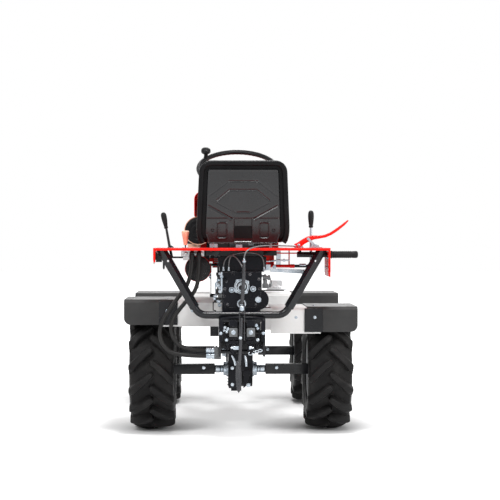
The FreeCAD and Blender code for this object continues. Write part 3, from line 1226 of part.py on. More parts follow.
def cord_along(label, points, radius):
    """A hose or cable: straight runs joined by arcs that suit their lengths."""
    spots = [FreeCAD.Vector(*point) for point in points]
    edges, last, bends = [], spots[0], []
    for before, corner, after in zip(spots, spots[1:], spots[2:]):
        come, leave = before - corner, after - corner
        trim = 0.45 * min(come.Length, leave.Length)
        half_turn = (math.pi - come.getAngle(leave)) / 2
        come.normalize()
        leave.normalize()
        bend = trim / math.tan(half_turn)
        bends.append(bend)
        middle = corner + (come + leave).normalize() * (bend / math.cos(half_turn) - bend)
        first, final = corner + come * trim, corner + leave * trim
        edges += [Part.LineSegment(last, first).toShape(),
                  Part.Arc(first, middle, final).toShape()]
        last = final
    edges.append(Part.LineSegment(last, spots[-1]).toShape())
    spine = Part.Wire(edges)
    section = Part.Wire(Part.makeCircle(radius, spots[0], spots[1] - spots[0]))
    thing = doc.addObject("Part::Feature", label)
    thing.Shape = spine.makePipeShell([section], True, False)
    print("%s: length %.0f, volume over section times length %.4f, bends %s" % (
        label, spine.Length, thing.Shape.Volume / (math.pi * radius ** 2 * spine.Length),
        [round(bend) for bend in bends]))
    return node(label, thing)


for label, route, thickness in (
        ("hose_line_outer", HOSE_OUTER, "hose_radius"),
        ("hose_line_inner", HOSE_INNER, "hose_radius"),
        ("cable_left", CABLE_LEFT, "cable_radius"),
        ("cable_middle", CABLE_MIDDLE, "cable_radius"),
        ("cable_right", CABLE_RIGHT, "cable_radius")):
    cord_along(label, route, size(thickness))

# ---------------------------------------------------------------- hitch lever
lever_hole = rod("lever_hole", "bar_radius", "400", ("-200", "bar_plane", "bar_height"), "X")
node("hitch_lever", cut("hitch_lever_fitted", fuse("hitch_lever_solid", [
    profile("lever_bar_sheet", "XZ", [
        ("-12", "lever_foot"), ("2", "lever_foot"), ("16", "lever_top"),
        ("2", "lever_top")], "lever_rear", "lever_rear + lever_bar"),
    block("lever_saddle", ("-16", "14"), ("lever_axis", "bar_plane"),
          (HITCH_TOP + " + 2", "602")),
    rod("lever_sleeve", "lever_sleeve_radius", "78", ("-2", "lever_axis", "540")),
    rod("lever_rod", "lever_rod_radius", "170", ("-2", "lever_axis", "372")),
    profile("lever_spear", "XZ", [
        ("-16", "380"), ("-30", "370"), ("-37", "300"), ("-30", "lever_tip + 5"),
        ("-14", "lever_tip"), ("-4", "300"), ("-3", "370")],
        "lever_axis - 4", "lever_axis + 4"),
]), [lever_hole]))

# ---------------------------------------------------------------- hand in
doc.recompute()
problems = []
for thing in doc.Objects:
    if any(word in thing.State for word in ("Invalid", "Error")):
        problems.append("%s: %s" % (thing.Label, thing.State))
for piece in NODES:
    shape = piece.Shape
    if shape.isNull() or not shape.isValid() or not shape.Solids:
        problems.append("%s: bad shape" % piece.Label)
for line in problems:
    print("PROBLEM", line)
whole = FreeCAD.BoundBox()
for piece in NODES:
    if piece.Shape.isNull():
        continue
    box = piece.Shape.optimalBoundingBox(False, False)
    whole.add(box)
    print("%-22s solids %d  volume %9.1f cm3  X %7.1f %7.1f  Y %7.1f %7.1f  Z %7.1f %7.1f" % (
        piece.Label, len(piece.Shape.Solids), piece.Shape.Volume / 1000,
        box.XMin, box.XMax, box.YMin, box.YMax, box.ZMin, box.ZMax))
    piece.Shape.exportStep("parts/%s.step" % piece.Label)
print("whole", whole)
print("nodes", len(NODES), "problems", len(problems))
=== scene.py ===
import json
from math import copysign, cos, exp, hypot, pi, radians, sin, sqrt, tau

import bmesh
import bpy
from mathutils import Euler, Matrix, Vector


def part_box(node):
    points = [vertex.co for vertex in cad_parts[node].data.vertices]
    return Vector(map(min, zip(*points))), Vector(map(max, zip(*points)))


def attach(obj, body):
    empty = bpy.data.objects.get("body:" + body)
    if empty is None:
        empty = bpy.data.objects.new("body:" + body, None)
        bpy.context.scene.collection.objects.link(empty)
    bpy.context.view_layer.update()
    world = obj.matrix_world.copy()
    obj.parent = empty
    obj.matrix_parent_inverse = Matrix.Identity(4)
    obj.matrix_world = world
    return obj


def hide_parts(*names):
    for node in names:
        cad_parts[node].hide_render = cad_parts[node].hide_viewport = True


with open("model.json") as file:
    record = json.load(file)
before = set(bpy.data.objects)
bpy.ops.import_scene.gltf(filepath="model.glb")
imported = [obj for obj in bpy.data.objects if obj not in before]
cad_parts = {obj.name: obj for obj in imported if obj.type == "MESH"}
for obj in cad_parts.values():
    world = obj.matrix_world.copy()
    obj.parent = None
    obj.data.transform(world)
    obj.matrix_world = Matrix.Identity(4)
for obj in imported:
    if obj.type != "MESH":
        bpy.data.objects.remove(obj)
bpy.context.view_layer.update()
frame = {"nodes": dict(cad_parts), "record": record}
NODES = frame["nodes"]
MM = 0.001

# ---- camera
camera = bpy.data.objects.new("camera", bpy.data.cameras.new("camera"))
bpy.context.scene.collection.objects.link(camera)
camera.data.lens = 92.2
camera.data.sensor_width = 36
camera.location = (-0.132, -6.865, 0.929)
camera.rotation_euler = Euler((radians(90 - 0.447), 0, radians(-1.637)))
camera.data.clip_end = 100
bpy.context.scene.camera = camera
bpy.context.scene.view_settings.view_transform = "Standard"

# ---- hoses and cables
REAR, FRONT = "rear_frame", "front_frame"


def cord_along(name, node, points, diameter):
    """A hose or cable on the route of its CAD solid, in millimetres."""
    data = bpy.data.curves.new(name, "CURVE")
    data.dimensions = "3D"
    data.bevel_depth = 1  # the points' own radius sets the thickness
    data.bevel_resolution = 6
    data.resolution_u = 14
    line = data.splines.new("NURBS")
    line.points.add(len(points) - 1)
    for spot, point in zip(line.points, points):
        spot.co = (*[number * MM for number in point], 1)
        spot.radius = diameter / 2 * MM
    line.order_u = 3
    line.use_endpoint_u = True
    cord = bpy.data.objects.new(name, data)
    bpy.context.scene.collection.objects.link(cord)
    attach(cord, REAR)
    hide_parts(node)
    return cord


CORDS = [
    cord_along("hose_outer", "hose_line_outer", [
        (-233, -850, 840), (-233, -850, 738), (-321, -866, 631), (-388, -872, 520),
        (-374, -875, 439), (-311, -875, 386), (-160, -875, 386)], 19),
    cord_along("hose_inner", "hose_line_inner", [
        (-200, -850, 840), (-200, -850, 765), (-214, -860, 690), (-278, -869, 622),
        (-334, -873, 546), (-325, -874, 467), (-265, -875, 414), (-160, -875, 414)],
        19),
    cord_along("control_cable_left", "cable_left", [
        (-85, -850, 795), (-85, -850, 845), (-15, -850, 868), (35, -850, 871),
        (82, -850, 864), (106, -850, 838), (106, -850, 795)], 6),
    cord_along("control_cable_middle", "cable_middle", [
        (-60, -850, 795), (-60, -850, 838), (-42, -882, 862), (-12, -915, 832),
        (9, -945, 790), (9, -985, 790)], 6),
    cord_along("control_cable_right", "cable_right", [
        (9, -1001, 837), (9, -1001, 870), (42, -981, 894), (92, -955, 903),
        (142, -930, 903), (190, -905, 902), (232, -872, 901), (256, -833, 899),
        (256, -788, 899)], 6),
]


# ---- materials
class Shader:
    """A node tree built in a few calls."""

    def __init__(self, owner, kind="Material"):
        owner.use_nodes = True
        self.tree = owner.node_tree
        self.tree.nodes.clear()
        self.out = self.add("Output" + kind)

    def add(self, kind, **values):
        made = self.tree.nodes.new("ShaderNode" + kind)
        for key, value in values.items():
            setattr(made, key, value)
        return made

    def link(self, source, target):
        self.tree.links.new(source, target)

    def put(self, made, **values):
        """Constants for a node's sockets; an underscore stands for a space."""
        for key, value in values.items():
            made.inputs[key.replace("_", " ")].default_value = value

    def stretched(self, scale):
        mapping = self.add("Mapping")
        self.put(mapping, Scale=scale)
        self.link(self.add("TexCoord").outputs["Object"], mapping.inputs["Vector"])
        return mapping.outputs["Vector"]

    def noise(self, scale, detail, rough):
        made = self.add("TexNoise")
        self.put(made, Scale=scale, Detail=detail, Roughness=rough)
        self.link(self.add("TexCoord").outputs["Object"], made.inputs["Vector"])
        return made.outputs["Fac"]

    def spread(self, source, low, high, start=0.3, end=0.7):
        made = self.add("MapRange")
        self.put(made, From_Min=start, From_Max=end, To_Min=low, To_Max=high)
        self.link(source, made.inputs["Value"])
        return made.outputs["Result"]

    def math(self, operation, one, other):
        made = self.add("Math", operation=operation)
        self.link(one, made.inputs[0])
        self.link(other, made.inputs[1])
        return made.outputs[0]

    def blend(self, factor, one, other):
        made = self.add("Mix", data_type="RGBA")
        self.link(factor, made.inputs["Factor"])
        for slot, value in (("A", one), ("B", other)):
            socket = [s for s in made.inputs if s.name == slot and s.type == "RGBA"][0]
            if isinstance(value, tuple):
                socket.default_value = (*value, 1)
            else:
                self.link(value, socket)
        return [s for s in made.outputs if s.type == "RGBA"][0]

    def looked_at(self):
        """1 for the camera and for mirrors, 0 where the surface only gives light."""
        rays = self.add("LightPath").outputs
        return self.math("MAXIMUM", rays["Is Camera Ray"], rays["Is Glossy Ray"])

    def bump(self, height, depth):
        made = self.add("Bump")
        self.put(made, Distance=depth)
        self.link(height, made.inputs["Height"])
        return made.outputs["Normal"]

    def edges(self, radius):
        """Mask of outer edges, where paint rubs thin and where painted edge highlights go."""
        rounded = self.add("Bevel", samples=6)
        self.put(rounded, Radius=radius)
        flat = self.add("NewGeometry")
        dot = self.add("VectorMath", operation="DOT_PRODUCT")
        self.link(rounded.outputs[0], dot.inputs[0])
        self.link(flat.outputs["Normal"], dot.inputs[1])
        return self.spread(dot.outputs["Value"], 1, 0, 0.80, 0.97)


def finish_of(slot, color, shade, rough, grain, metallic=0.0, coat=0.0, mottle=9,
              wear_and_highlight=None, dust=None, shine=0.5):
    """Paint, rubber or metal: mottled colour, uneven gloss, fine grain, worn edges with painted
    edge highlights.
    """
    material = bpy.data.materials.get(slot) or bpy.data.materials.new(slot)
    made = Shader(material)
    skin = made.add("BsdfPrincipled")
    made.put(skin, Metallic=metallic, Coat_Weight=coat, Coat_Roughness=0.12,
             Specular_IOR_Level=shine)
    made.link(skin.outputs[0], made.out.inputs["Surface"])
    skin = skin.inputs
    tint = made.blend(made.spread(made.noise(mottle, 5, 0.6), 0, 1), color, shade)
    if dust:
        film = made.noise(3.5, 6, 0.7)
        tint = made.blend(made.spread(film, 0, dust[1], 0.45, 0.8), tint, dust[0])
    # lighter colour on the outer edges: worn paint on some finishes, a painted highlight on others
    if wear_and_highlight:
        worn_and_lit_edges = made.math("MULTIPLY", made.edges(wear_and_highlight[1]),
                           made.spread(made.noise(55, 4, 0.7), 0, 1, 0.42, 0.62))
        tint = made.blend(worn_and_lit_edges, tint, wear_and_highlight[0])
    made.link(tint, skin["Base Color"])
    made.link(made.spread(made.noise(mottle * 3, 4, 0.65), rough - 0.08, rough + 0.08),
              skin["Roughness"])
    made.link(made.bump(made.noise(grain[0], 4, 0.6), grain[1]), skin["Normal"])
    return material


# tyre rubber: its lighter edge colour is a painted highlight along the lug edges; the dust is real
# dust
finish_of("tyre_rubber", (0.0085, 0.0083, 0.0085), (0.016, 0.0155, 0.0155), 0.46,
          (420, 0.0006), mottle=14, dust=((0.050, 0.046, 0.043), 0.35), shine=0.1,
          wear_and_highlight=((0.045, 0.042, 0.040), 0.004))
finish_of("rim_silver", (0.60, 0.61, 0.62), (0.52, 0.53, 0.54), 0.34, (500, 0.00008),
          metallic=0.55, coat=0.3)
# frame black: its lighter edge colour is a painted highlight along the tubes' edges
finish_of("frame_black", (0.0045, 0.005, 0.0065), (0.009, 0.0095, 0.012), 0.2,
          (260, 0.00005), wear_and_highlight=((0.15, 0.15, 0.16), 0.0018), shine=0.26)
# case black: its light edge colour is partly worn paint and partly a painted highlight
finish_of("case_black", (0.004, 0.0045, 0.0065), (0.008, 0.0085, 0.012), 0.25, (230, 0.00012),
          wear_and_highlight=((0.42, 0.42, 0.44), 0.0022), shine=0.11)
finish_of("zinc_plate", (0.30, 0.36, 0.42), (0.56, 0.60, 0.64), 0.27, (160, 0.0001),
          metallic=0.9, mottle=30)
finish_of("deck_red", (0.68, 0.006, 0.003), (0.80, 0.012, 0.006), 0.26, (300, 0.00004),
          wear_and_highlight=((0.60, 0.16, 0.12), 0.0010), shine=0.2)
finish_of("panel_grey", (0.74, 0.735, 0.73), (0.80, 0.795, 0.79), 0.42, (350, 0.0001),
          mottle=5, dust=((0.50, 0.48, 0.45), 0.25))
finish_of("guard_black", (0.026, 0.026, 0.0265), (0.043, 0.042, 0.0415), 0.44,
          (900, 0.00012), mottle=6, shine=0.2)
finish_of("seat_vinyl", (0.004, 0.004, 0.0045), (0.0075, 0.0075, 0.008), 0.38,
          (700, 0.00025), mottle=12, shine=0.09)
finish_of("seat_steel", (0.0065, 0.007, 0.008), (0.011, 0.0115, 0.013), 0.24,
          (240, 0.00004), shine=0.4)
finish_of("grip_rubber", (0.0055, 0.0055, 0.006), (0.01, 0.01, 0.0105), 0.48,
          (800, 0.0004), shine=0.16)
finish_of("checker_aluminium", (0.50, 0.51, 0.52), (0.60, 0.61, 0.62), 0.35, (300, 0.0002),
          metallic=0.85, mottle=22)
finish_of("engine_grey", (0.10, 0.105, 0.11), (0.16, 0.165, 0.17), 0.45, (180, 0.0008),
          metallic=0.3)
finish_of("valve_black", (0.008, 0.008, 0.009), (0.017, 0.016, 0.017), 0.32, (260, 0.0004),
          wear_and_highlight=((0.20, 0.20, 0.21), 0.0012), shine=0.22)
finish_of("wheel_plastic", (0.0055, 0.0055, 0.006), (0.010, 0.010, 0.011), 0.38,
          (600, 0.0003), shine=0.16)
finish_of("hose_rubber", (0.01, 0.0095, 0.0095), (0.02, 0.019, 0.018), 0.42,
          (500, 0.0003), shine=0.22)
finish_of("knob_orange", (0.82, 0.4, 0.25), (0.87, 0.5, 0.36), 0.3, (300, 0.0001), coat=0.3)
finish_of("lamp_lens", (0.78, 0.80, 0.82), (0.84, 0.86, 0.88), 0.08, (200, 0.0001), coat=0.8)
finish_of("cable_sheath", (0.1, 0.1, 0.105), (0.16, 0.16, 0.165), 0.3, (400, 0.0001), shine=0.5)

# ---- mesh kit
AFT, FORE, UP, DOWN = (0, -1, 0), (0, 1, 0), (0, 0, 1), (0, 0, -1)
AXLE_Y, AXLE_Z = 525, 292
NUT_CIRCLE, HITCH_X, HOOD_HALF, DECK_REAR, BOSS_REAR = 46, 40, 237, -947, -870


def circle(x, y, z, wide, high, steps):
    """Closed run of points round a middle, in a plane that faces aft."""
    return [(x + wide * cos(turn), y, z + high * sin(turn))
            for turn in (tau * step / steps for step in range(steps + 1))]


def run_at(line, index):
    """Direction of a line of flat points at one of them, from its neighbours."""
    before, after = line[max(index - 1, 0)], line[min(index + 1, len(line) - 1)]
    return Vector((after[0] - before[0], after[1] - before[1])).normalized()


def coil(x, y, z, radius, turn, rise, steps):
    """Points of an upright spring."""
    return [(x + radius * cos(step * turn), y + radius * sin(step * turn),
             z + step * rise) for step in range(steps)]


class Form:
    """Builds one piece's mesh, in millimetres in the row frame."""

    def __init__(self):
        self.mesh = bmesh.new()

    def rings(self, loops, caps=True):
        """Skin over loops of points, each loop round the piece."""
        rows = [[self.mesh.verts.new(Vector(point) * MM) for point in loop] for loop in loops]
        count = len(rows[0])
        for low, high in zip(rows, rows[1:]):
            for here in range(count):
                there = (here + 1) % count
                self.mesh.faces.new((low[here], low[there], high[there], high[here]))
        if caps:
            self.mesh.faces.new(rows[0][::-1])
            self.mesh.faces.new(rows[-1])

    def lathe(self, at, axis, outline, steps=32, start=0.0, caps=True):
        """Turned piece: outline of (distance along the axis, radius)."""
        axis = Vector(axis).normalized()
        side = axis.orthogonal().normalized()
        other = axis.cross(side)
        at = Vector(at)
        loops = [[at + axis * along + (side * cos(turn) + other * sin(turn)) * radius
                  for turn in (start + tau * step / steps for step in range(steps))]
                 for along, radius in outline]
        self.rings(loops, caps)

    def box(self, low, high):
        spots = [Vector((x, y, z)) for x in (low[0], high[0]) for y in (low[1], high[1])
                 for z in (low[2], high[2])]
        verts = [self.mesh.verts.new(spot * MM) for spot in spots]
        for face in ((0, 1, 3, 2), (4, 6, 7, 5), (0, 4, 5, 1), (2, 3, 7, 6), (0, 2, 6, 4),
                     (1, 5, 7, 3)):
            self.mesh.faces.new([verts[corner] for corner in face])

    def slab(self, outline, start, end, plane="XZ"):
        """Flat outline in the XZ or YZ plane, given thickness along the third axis."""
        def spot(point, depth):
            a, b = point
            return (a, depth, b) if plane == "XZ" else (depth, a, b)
        self.rings([[spot(point, depth) for point in outline] for depth in (start, end)])

    def tube(self, points, radius, sides):
        """Round bar along points. The radius may be a list, one for each point."""
        spots = [Vector(point) for point in points]
        sizes = radius if isinstance(radius, (list, tuple)) else [radius] * len(spots)
        ways = [(b - a).normalized() for a, b in zip(spots, spots[1:])]
        ways = [ways[0]] + [(a + b).normalized() for a, b in zip(ways, ways[1:])] + [ways[-1]]
        side = ways[0].orthogonal().normalized()
        loops = []
        for spot, way, size in zip(spots, ways, sizes):
            side = (side - way * side.dot(way)).normalized()
            other = way.cross(side)
            loops.append([spot + (side * cos(tau * step / sides)
                                  + other * sin(tau * step / sides)) * size
                          for step in range(sides)])
        self.rings(loops)

    def bolt(self, at, axis, across, head, washer=True):
        """Hexagon head with a chamfered crown on a washer; at is on the carrying face."""
        at, axis = Vector(at), Vector(axis).normalized()
        if washer:
            self.lathe(at, axis, [(-1, across * 0.82), (1.4, across * 0.82),
                                  (1.8, across * 0.78)], 20)
        radius = across / sqrt(3)
        self.lathe(at, axis, [(1, radius), (head - 1, radius), (head, radius * 0.86)], 6, 0.3)
        self.lathe(at, axis, [(head - 1, radius * 0.62), (head + 1.2, radius * 0.60),
                              (head + 1.6, radius * 0.5)], 12)

    def bolts(self, axis, across, head, *spots, washer=True):
        for at in spots:
            self.bolt(at, axis, across, head, washer)

    def weld(self):
        """Join points that lie on each other, where a ring of loops closes."""
        bmesh.ops.remove_doubles(self.mesh, verts=self.mesh.verts[:], dist=0.00001)

    def data(self, name):
        """The mesh with its faces turned outward; the form is empty afterwards."""
        bmesh.ops.recalc_face_normals(self.mesh, faces=self.mesh.faces[:])
        made = bpy.data.meshes.new(name)
        self.mesh.to_mesh(made)
        self.mesh.free()
        self.mesh = bmesh.new()
        return made

    def finish(self, name, slot, replaces=(), round_off=0.0, angle=32, body=REAR):
        """Turn the mesh into a piece with its material."""
        return piece_of(name, self.data(name), body, slot, replaces, round_off, angle)


def piece_of(name, data, body, slot, replaces=(), round_off=0.0, angle=32):
    made = bpy.data.objects.new(name, data)
    bpy.context.scene.collection.objects.link(made)
    data.shade_smooth()
    data.set_sharp_from_angle(angle=radians(angle))
    if round_off:
        rounding = made.modifiers.new("rounding", "BEVEL")
        rounding.width = round_off * MM
        rounding.segments = 2
        rounding.limit_method = "ANGLE"
        rounding.angle_limit = radians(angle)
        rounding.harden_normals = True
        rounding.use_clamp_overlap = True
        data.shade_smooth()
    data.materials.append(bpy.data.materials[slot])
    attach(made, body)
    if replaces:
        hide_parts(*replaces)
    return made


BODY_OF = {node: body for body, members in frame["record"]["behaviour"]["bodies"].items()
           for node in members}
SLOT_OF = {entry["node"]: entry["material_slot"] for entry in frame["record"]["subparts"]}


def dressed(node, round_off):
    """A node's own shape with its edges rounded."""
    shape = bmesh.new()
    shape.from_mesh(NODES[node].data)
    bmesh.ops.remove_doubles(shape, verts=shape.verts[:], dist=0.00002)
    bmesh.ops.dissolve_limit(shape, angle_limit=radians(4), verts=shape.verts[:],
                             edges=shape.edges[:], delimit={"NORMAL"})
    data = bpy.data.meshes.new(node + "_dressed")
    shape.to_mesh(data)
    shape.free()
    piece_of(node + "_dressed", data, BODY_OF[node], SLOT_OF[node], [node], round_off)


# ---- tyres
TYRE_STEPS, LUGS, TYRE_HALF = 112, 14, 108.3
SHOULDER = 10  # row of LUG_WAY where a lug turns down the side wall
# (across, radius) from the rim's bead to the middle of the tread
CARCASS = [(68, 154), (77, 153.5), (82, 160), (90, 167), (95, 170), (96, 176), (99, 184),
           (102.5, 194), (104, 195), (105, 200), (106.5, 208), (107, 216), (106, 224),
           (103.5, 234), (100, 242), (94, 247.5), (82, 251.5), (60, 254.5), (30, 256),
           (0, 256.5)]
# along a lug: across, radius on top, along the tread, half width, across and radius below
LUG_WAY = [(-5, 286, 67, 6, -5, 248), (2, 291, 62, 10.5, 2, 248), (12, 292, 53, 13, 12, 248),
           (27, 291.5, 39, 14, 27, 248), (43, 289.5, 24, 14.3, 43, 248),
           (59, 286.5, 9, 14.8, 59, 247), (73, 283, -6, 15.5, 73, 246),
           (84, 278.5, -19, 16.5, 83, 244), (93, 272.5, -31, 17.5, 91, 241),
           (100, 265, -40, 18.5, 97, 236), (105, 255, -46, 19.5, 101, 231),
           (107.5, 243, -49, 20, 103, 226), (108, 231, -50, 20, 104, 221),
           (107, 219, -50, 17.5, 103, 212)]


def tyre_mesh(name, side):
    """Whole tyre round the X axis; side is +1 on the right and -1 on the left."""
    form = Form()

    def spot(across, along, radius, turn):
        angle = turn + along / AXLE_Z
        return (side * across, radius * sin(angle), radius * cos(angle))

    section = CARCASS + [(-across, radius) for across, radius in reversed(CARCASS[:-1])]
    form.rings([[spot(across, 0, radius, tau * step / TYRE_STEPS)
                 for across, radius in section]
                for step in range(TYRE_STEPS + 1)], caps=False)
    form.weld()
    for half in (1, -1):
        for number in range(LUGS):
            turn = tau * (number + (0.5 if half < 0 else 0)) / LUGS
            loops = []
            for index, (across, top, along, wide, low_x, low_r) in enumerate(LUG_WAY):
                run = run_at([(row[0], row[2]) for row in LUG_WAY], index)
                if index >= SHOULDER:
                    run = Vector((0.25, -0.97)).normalized()
                way = Vector((-run.y, run.x)) if index <= SHOULDER else Vector((0.1, 0.99))
                drop = Vector((low_x - across, low_r - top)).normalized() * 6
                loop = []
                for share, out in ((1, 8), (1, 2.2), (1, -2.6), (-1, -2.6), (-1, 2.2), (-1, 8)):
                    deep = abs(out) > 5
                    x, r = (low_x, low_r) if deep else (across, top)
                    if out == 2.2:
                        x, r = across + drop.x, top + drop.y
                    offset = way * share * (wide + out)
                    x = min(x + offset.x, TYRE_HALF)
                    loop.append(spot(half * x, along + offset.y, r, turn))
                loops.append(loop)
            form.rings(loops)
    return form.data(name)


WORDS = (("left", -1), ("right", 1))
TYRE_DATA = {side: tyre_mesh("tyre_" + word, side) for word, side in WORDS}
for end, word, side in [(end, *pair) for end in ("front_", "rear_") for pair in WORDS]:
    low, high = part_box(end + "tyre_" + word)
    tyre = piece_of(end + "tyre_tread_" + word, TYRE_DATA[side], end + "wheel_" + word,
                    "tyre_rubber", round_off=1.7, angle=24)
    tyre.parent = None
    tyre.location = (low + high) / 2
    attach(tyre, end + "wheel_" + word)
    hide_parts(end + "tyre_" + word)

# ---- seat
SEAT_X, SEAT_Y, SEAT_Z, RECLINE = 9, -772, 912, radians(8)
BACK_TOP, BACK_HALF, BACK_TOP_HALF, BACK_CORNER = 396, 221, 209, 57


def seat_spot(x, y, z):
    """Seat back's own place, upright, to the row frame, in millimetres."""
    return Vector((SEAT_X + x, SEAT_Y + y * cos(RECLINE) - z * sin(RECLINE),
                   SEAT_Z + y * sin(RECLINE) + z * cos(RECLINE)))


def back_line(inset, foot, steps=9):
    """Seat back's outline from the right foot over the top to the left foot."""
    right = [(BACK_HALF - 16 - inset, foot), (BACK_HALF - 7 - inset, foot + 14),
             (BACK_HALF - 2 - inset, 40), (BACK_HALF - inset, 60), (BACK_HALF - inset, 90)]
    top = BACK_TOP - BACK_CORNER
    for share in (0.25, 0.5, 0.75):
        right.append((BACK_HALF - inset - share * (BACK_HALF - BACK_TOP_HALF),
                      90 + share * (top - 90)))
    for step in range(steps + 1):
        turn = pi / 2 * step / steps
        right.append((BACK_TOP_HALF - BACK_CORNER + (BACK_CORNER - inset) * cos(turn),
                      top + (BACK_CORNER - inset) * sin(turn)))
    for share in (0.33, 0.66, 1.0):
        right.append(((BACK_TOP_HALF - BACK_CORNER) * (1 - share), BACK_TOP - inset))
    return right + [(-x, z) for x, z in reversed(right[:-1])]


def along_line(line, section, name):
    """Border swept along an outline; section is (outward, rearward) points."""
    form = Form()
    loops = []
    for index, (x, z) in enumerate(line):
        run = run_at(line, index)
        out = Vector((run.y, -run.x))
        loops.append([seat_spot(x + out.x * reach, -back, z + out.y * reach)
                      for reach, back in section])
    form.rings(loops)
    form.finish(name, "seat_vinyl", angle=60)


def oval(half_wide, half_deep, back, steps=18, power=0.75):
    """Section between an ellipse and a rectangle; a smaller power is squarer."""
    turns = [(cos(turn), sin(turn))
             for turn in (tau * step / steps for step in range(steps))]
    return [(half_wide * copysign(abs(a) ** power, a),
             back + half_deep * copysign(abs(b) ** power, b)) for a, b in turns]


# vinyl border that wraps round the cushion's back edge, with its piping
along_line(back_line(12.5, 6), oval(12.4, 11.5, 2.5), "seat_back_border")
along_line(back_line(2.2, 10), oval(2.4, 2.4, -7), "seat_back_piping")


def to_segments(x, z, corners):
    """Least distance from a point to a run of corners, mirrored to both sides."""
    x, least = abs(x), 1e9
    for (ax, az), (bx, bz) in zip(corners, corners[1:]):
        run = ((bx - ax) ** 2 + (bz - az) ** 2)
        share = max(0, min(1, ((x - ax) * (bx - ax) + (z - az) * (bz - az)) / run))
        least = min(least, hypot(x - ax - share * (bx - ax), z - az - share * (bz - az)))
    return least


def round_box(x, z, cx, cz, half_w, half_h, radius):
    """Distance to a rounded rectangle's line."""
    dx, dz = abs(x - cx) - half_w + radius, abs(z - cz) - half_h + radius
    return hypot(max(dx, 0), max(dz, 0)) + min(max(dx, dz), 0) - radius


def crease(away, wide):
    """Bell shape: 1 on a pressed line and near 0 two widths away."""
    return exp(-(away / wide) ** 2)


# pressed lines: how far out, how wide, and their corners on the right half
PRESSED = [(-3.0, 3.2, [(0, 298), (68, 298)]), (-1.2, 1.7, [(68, 298), (163, 226)]),
           (-3.2, 3.4, [(163, 181), (50, 118)]), (1.0, 3.0, [(163, 172), (58, 112)]),
           (-3.2, 3.6, [(0, 257), (65, 257), (125, 206)]),
           (-1.2, 1.7, [(125, 196), (31, 146)]), (-3.0, 3.4, [(0, 149), (28, 149)])]


def pressing(x, z, edge):
    """How far the pressed steel back stands proud (rearwards) at a point."""
    proud = 0.0
    for out, wide, corners in PRESSED:
        proud += out * crease(to_segments(x, z, corners), wide)
    proud -= 1.8 * crease(z - 121, 1.8)
    if z < 121:
        proud -= (121 - z) * 0.055
    if z < 119:
        proud -= 5.0 * (max(0, 1 - max(abs(x) - 40, 0) / 5) * max(0, min(1, (z - 6) / 5)))
        proud += 2.6 * crease(abs(x) - 44, 2.4) * min(1, max(0, (z - 8) / 6))
    box = round_box(abs(x), z, 100.5, 63, 22.5, 39, 9)
    proud += 3.2 * crease(box, 3.0) - (2.2 if box < -2 else 0)
    proud -= 4.0 * crease(hypot(abs(x) - 145, z - 61), 5)
    proud += 1.8 * crease(edge - 5, 3.5) - 7 * max(0, 1 - edge / 4) ** 2
    return proud


PAN_TOP, PAN_CORNER = 356, 17


def pan_half(z):
    """Half width of the pressed back: wider at the foot, tapering, with round top corners."""
    if z < 45:
        return 165 + 16 * (z / 45)
    up_corner = z - (PAN_TOP - PAN_CORNER)
    if up_corner > 0:
        return 152 + sqrt(max(PAN_CORNER ** 2 - up_corner ** 2, 0.5))
    return 181 - 12 * (z - 45) / 294


form = Form()
COLUMNS, ROWS = ((236, 230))
rows = []
for row in range(ROWS + 1):
    z = PAN_TOP * row / ROWS
    half = pan_half(z)
    line = []
    for column in range(COLUMNS + 1):
        x = half * (2 * column / COLUMNS - 1)
        edge = min(half - abs(x), z + 6, PAN_TOP - z)
        line.append(form.mesh.verts.new(seat_spot(x, -pressing(x, z, edge), z) * MM))
    rows.append(line)
for low_row, high_row in zip(rows, rows[1:]):
    for column in range(COLUMNS):
        form.mesh.faces.new((low_row[column], low_row[column + 1],
                             high_row[column + 1], high_row[column]))
pan = form.finish("seat_pan_pressed", "seat_steel", ["seat_pan"], angle=50)
skin = pan.modifiers.new("sheet", "SOLIDIFY")
skin.thickness = 0.0025
skin.offset = -1
form.slab([(-350, 946), (-364, 932), (-712, 912), (-768, 912), (-768, 915.5), (-712, 916),
           (-366, 936), (-354, 947)], SEAT_X - 165, SEAT_X + 165, "YZ")
for x in (-120, 120):
    form.box((SEAT_X + x - 12, -700, 903), (SEAT_X + x + 12, -400, 916))
form.finish("seat_base_sheet", "seat_steel", round_off=2)
for x in (-145, 145):
    at = seat_spot(x, -1, 61)
    form.lathe(at, (0, -1, 0.1), [(-2, 5.5), (1.5, 5.5), (2.6, 3.5), (2.7, 1.5)], 14)
form.finish("seat_back_screws", "valve_black")


def inflate(piece, cap):
    """Pad swollen by cloth pressure, each point's move capped in millimetres."""
    scene, frames = bpy.context.scene, 20
    for other in bpy.context.selected_objects:
        other.select_set(False)
    bpy.context.view_layer.objects.active = piece
    piece.select_set(True)
    rebuild = piece.modifiers.new("rebuild", "REMESH")
    rebuild.mode = "VOXEL"
    rebuild.voxel_size = 6 * MM
    bpy.ops.object.modifier_apply(modifier=rebuild.name)
    rest = [vertex.co.copy() for vertex in piece.data.vertices]
    cloth = piece.modifiers.new("pad", "CLOTH")
    cloth.settings.use_pressure = True
    cloth.settings.uniform_pressure_force = 4
    cloth.settings.effector_weights.gravity = 0
    cloth.settings.quality = 5
    cloth.point_cache.frame_start, cloth.point_cache.frame_end = 1, frames
    for number in range(1, frames + 1):
        scene.frame_set(number)
    found = piece.evaluated_get(bpy.context.evaluated_depsgraph_get())
    swollen = [vertex.co.copy() for vertex in found.data.vertices]
    piece.modifiers.remove(cloth)
    scene.frame_set(1)
    for vertex, before, after in zip(piece.data.vertices, rest, swollen):
        move = after - before
        if move.length > cap * MM:
            move = move.normalized() * cap * MM
        vertex.co = before + move
    for polygon in piece.data.polygons:
        polygon.use_smooth = True


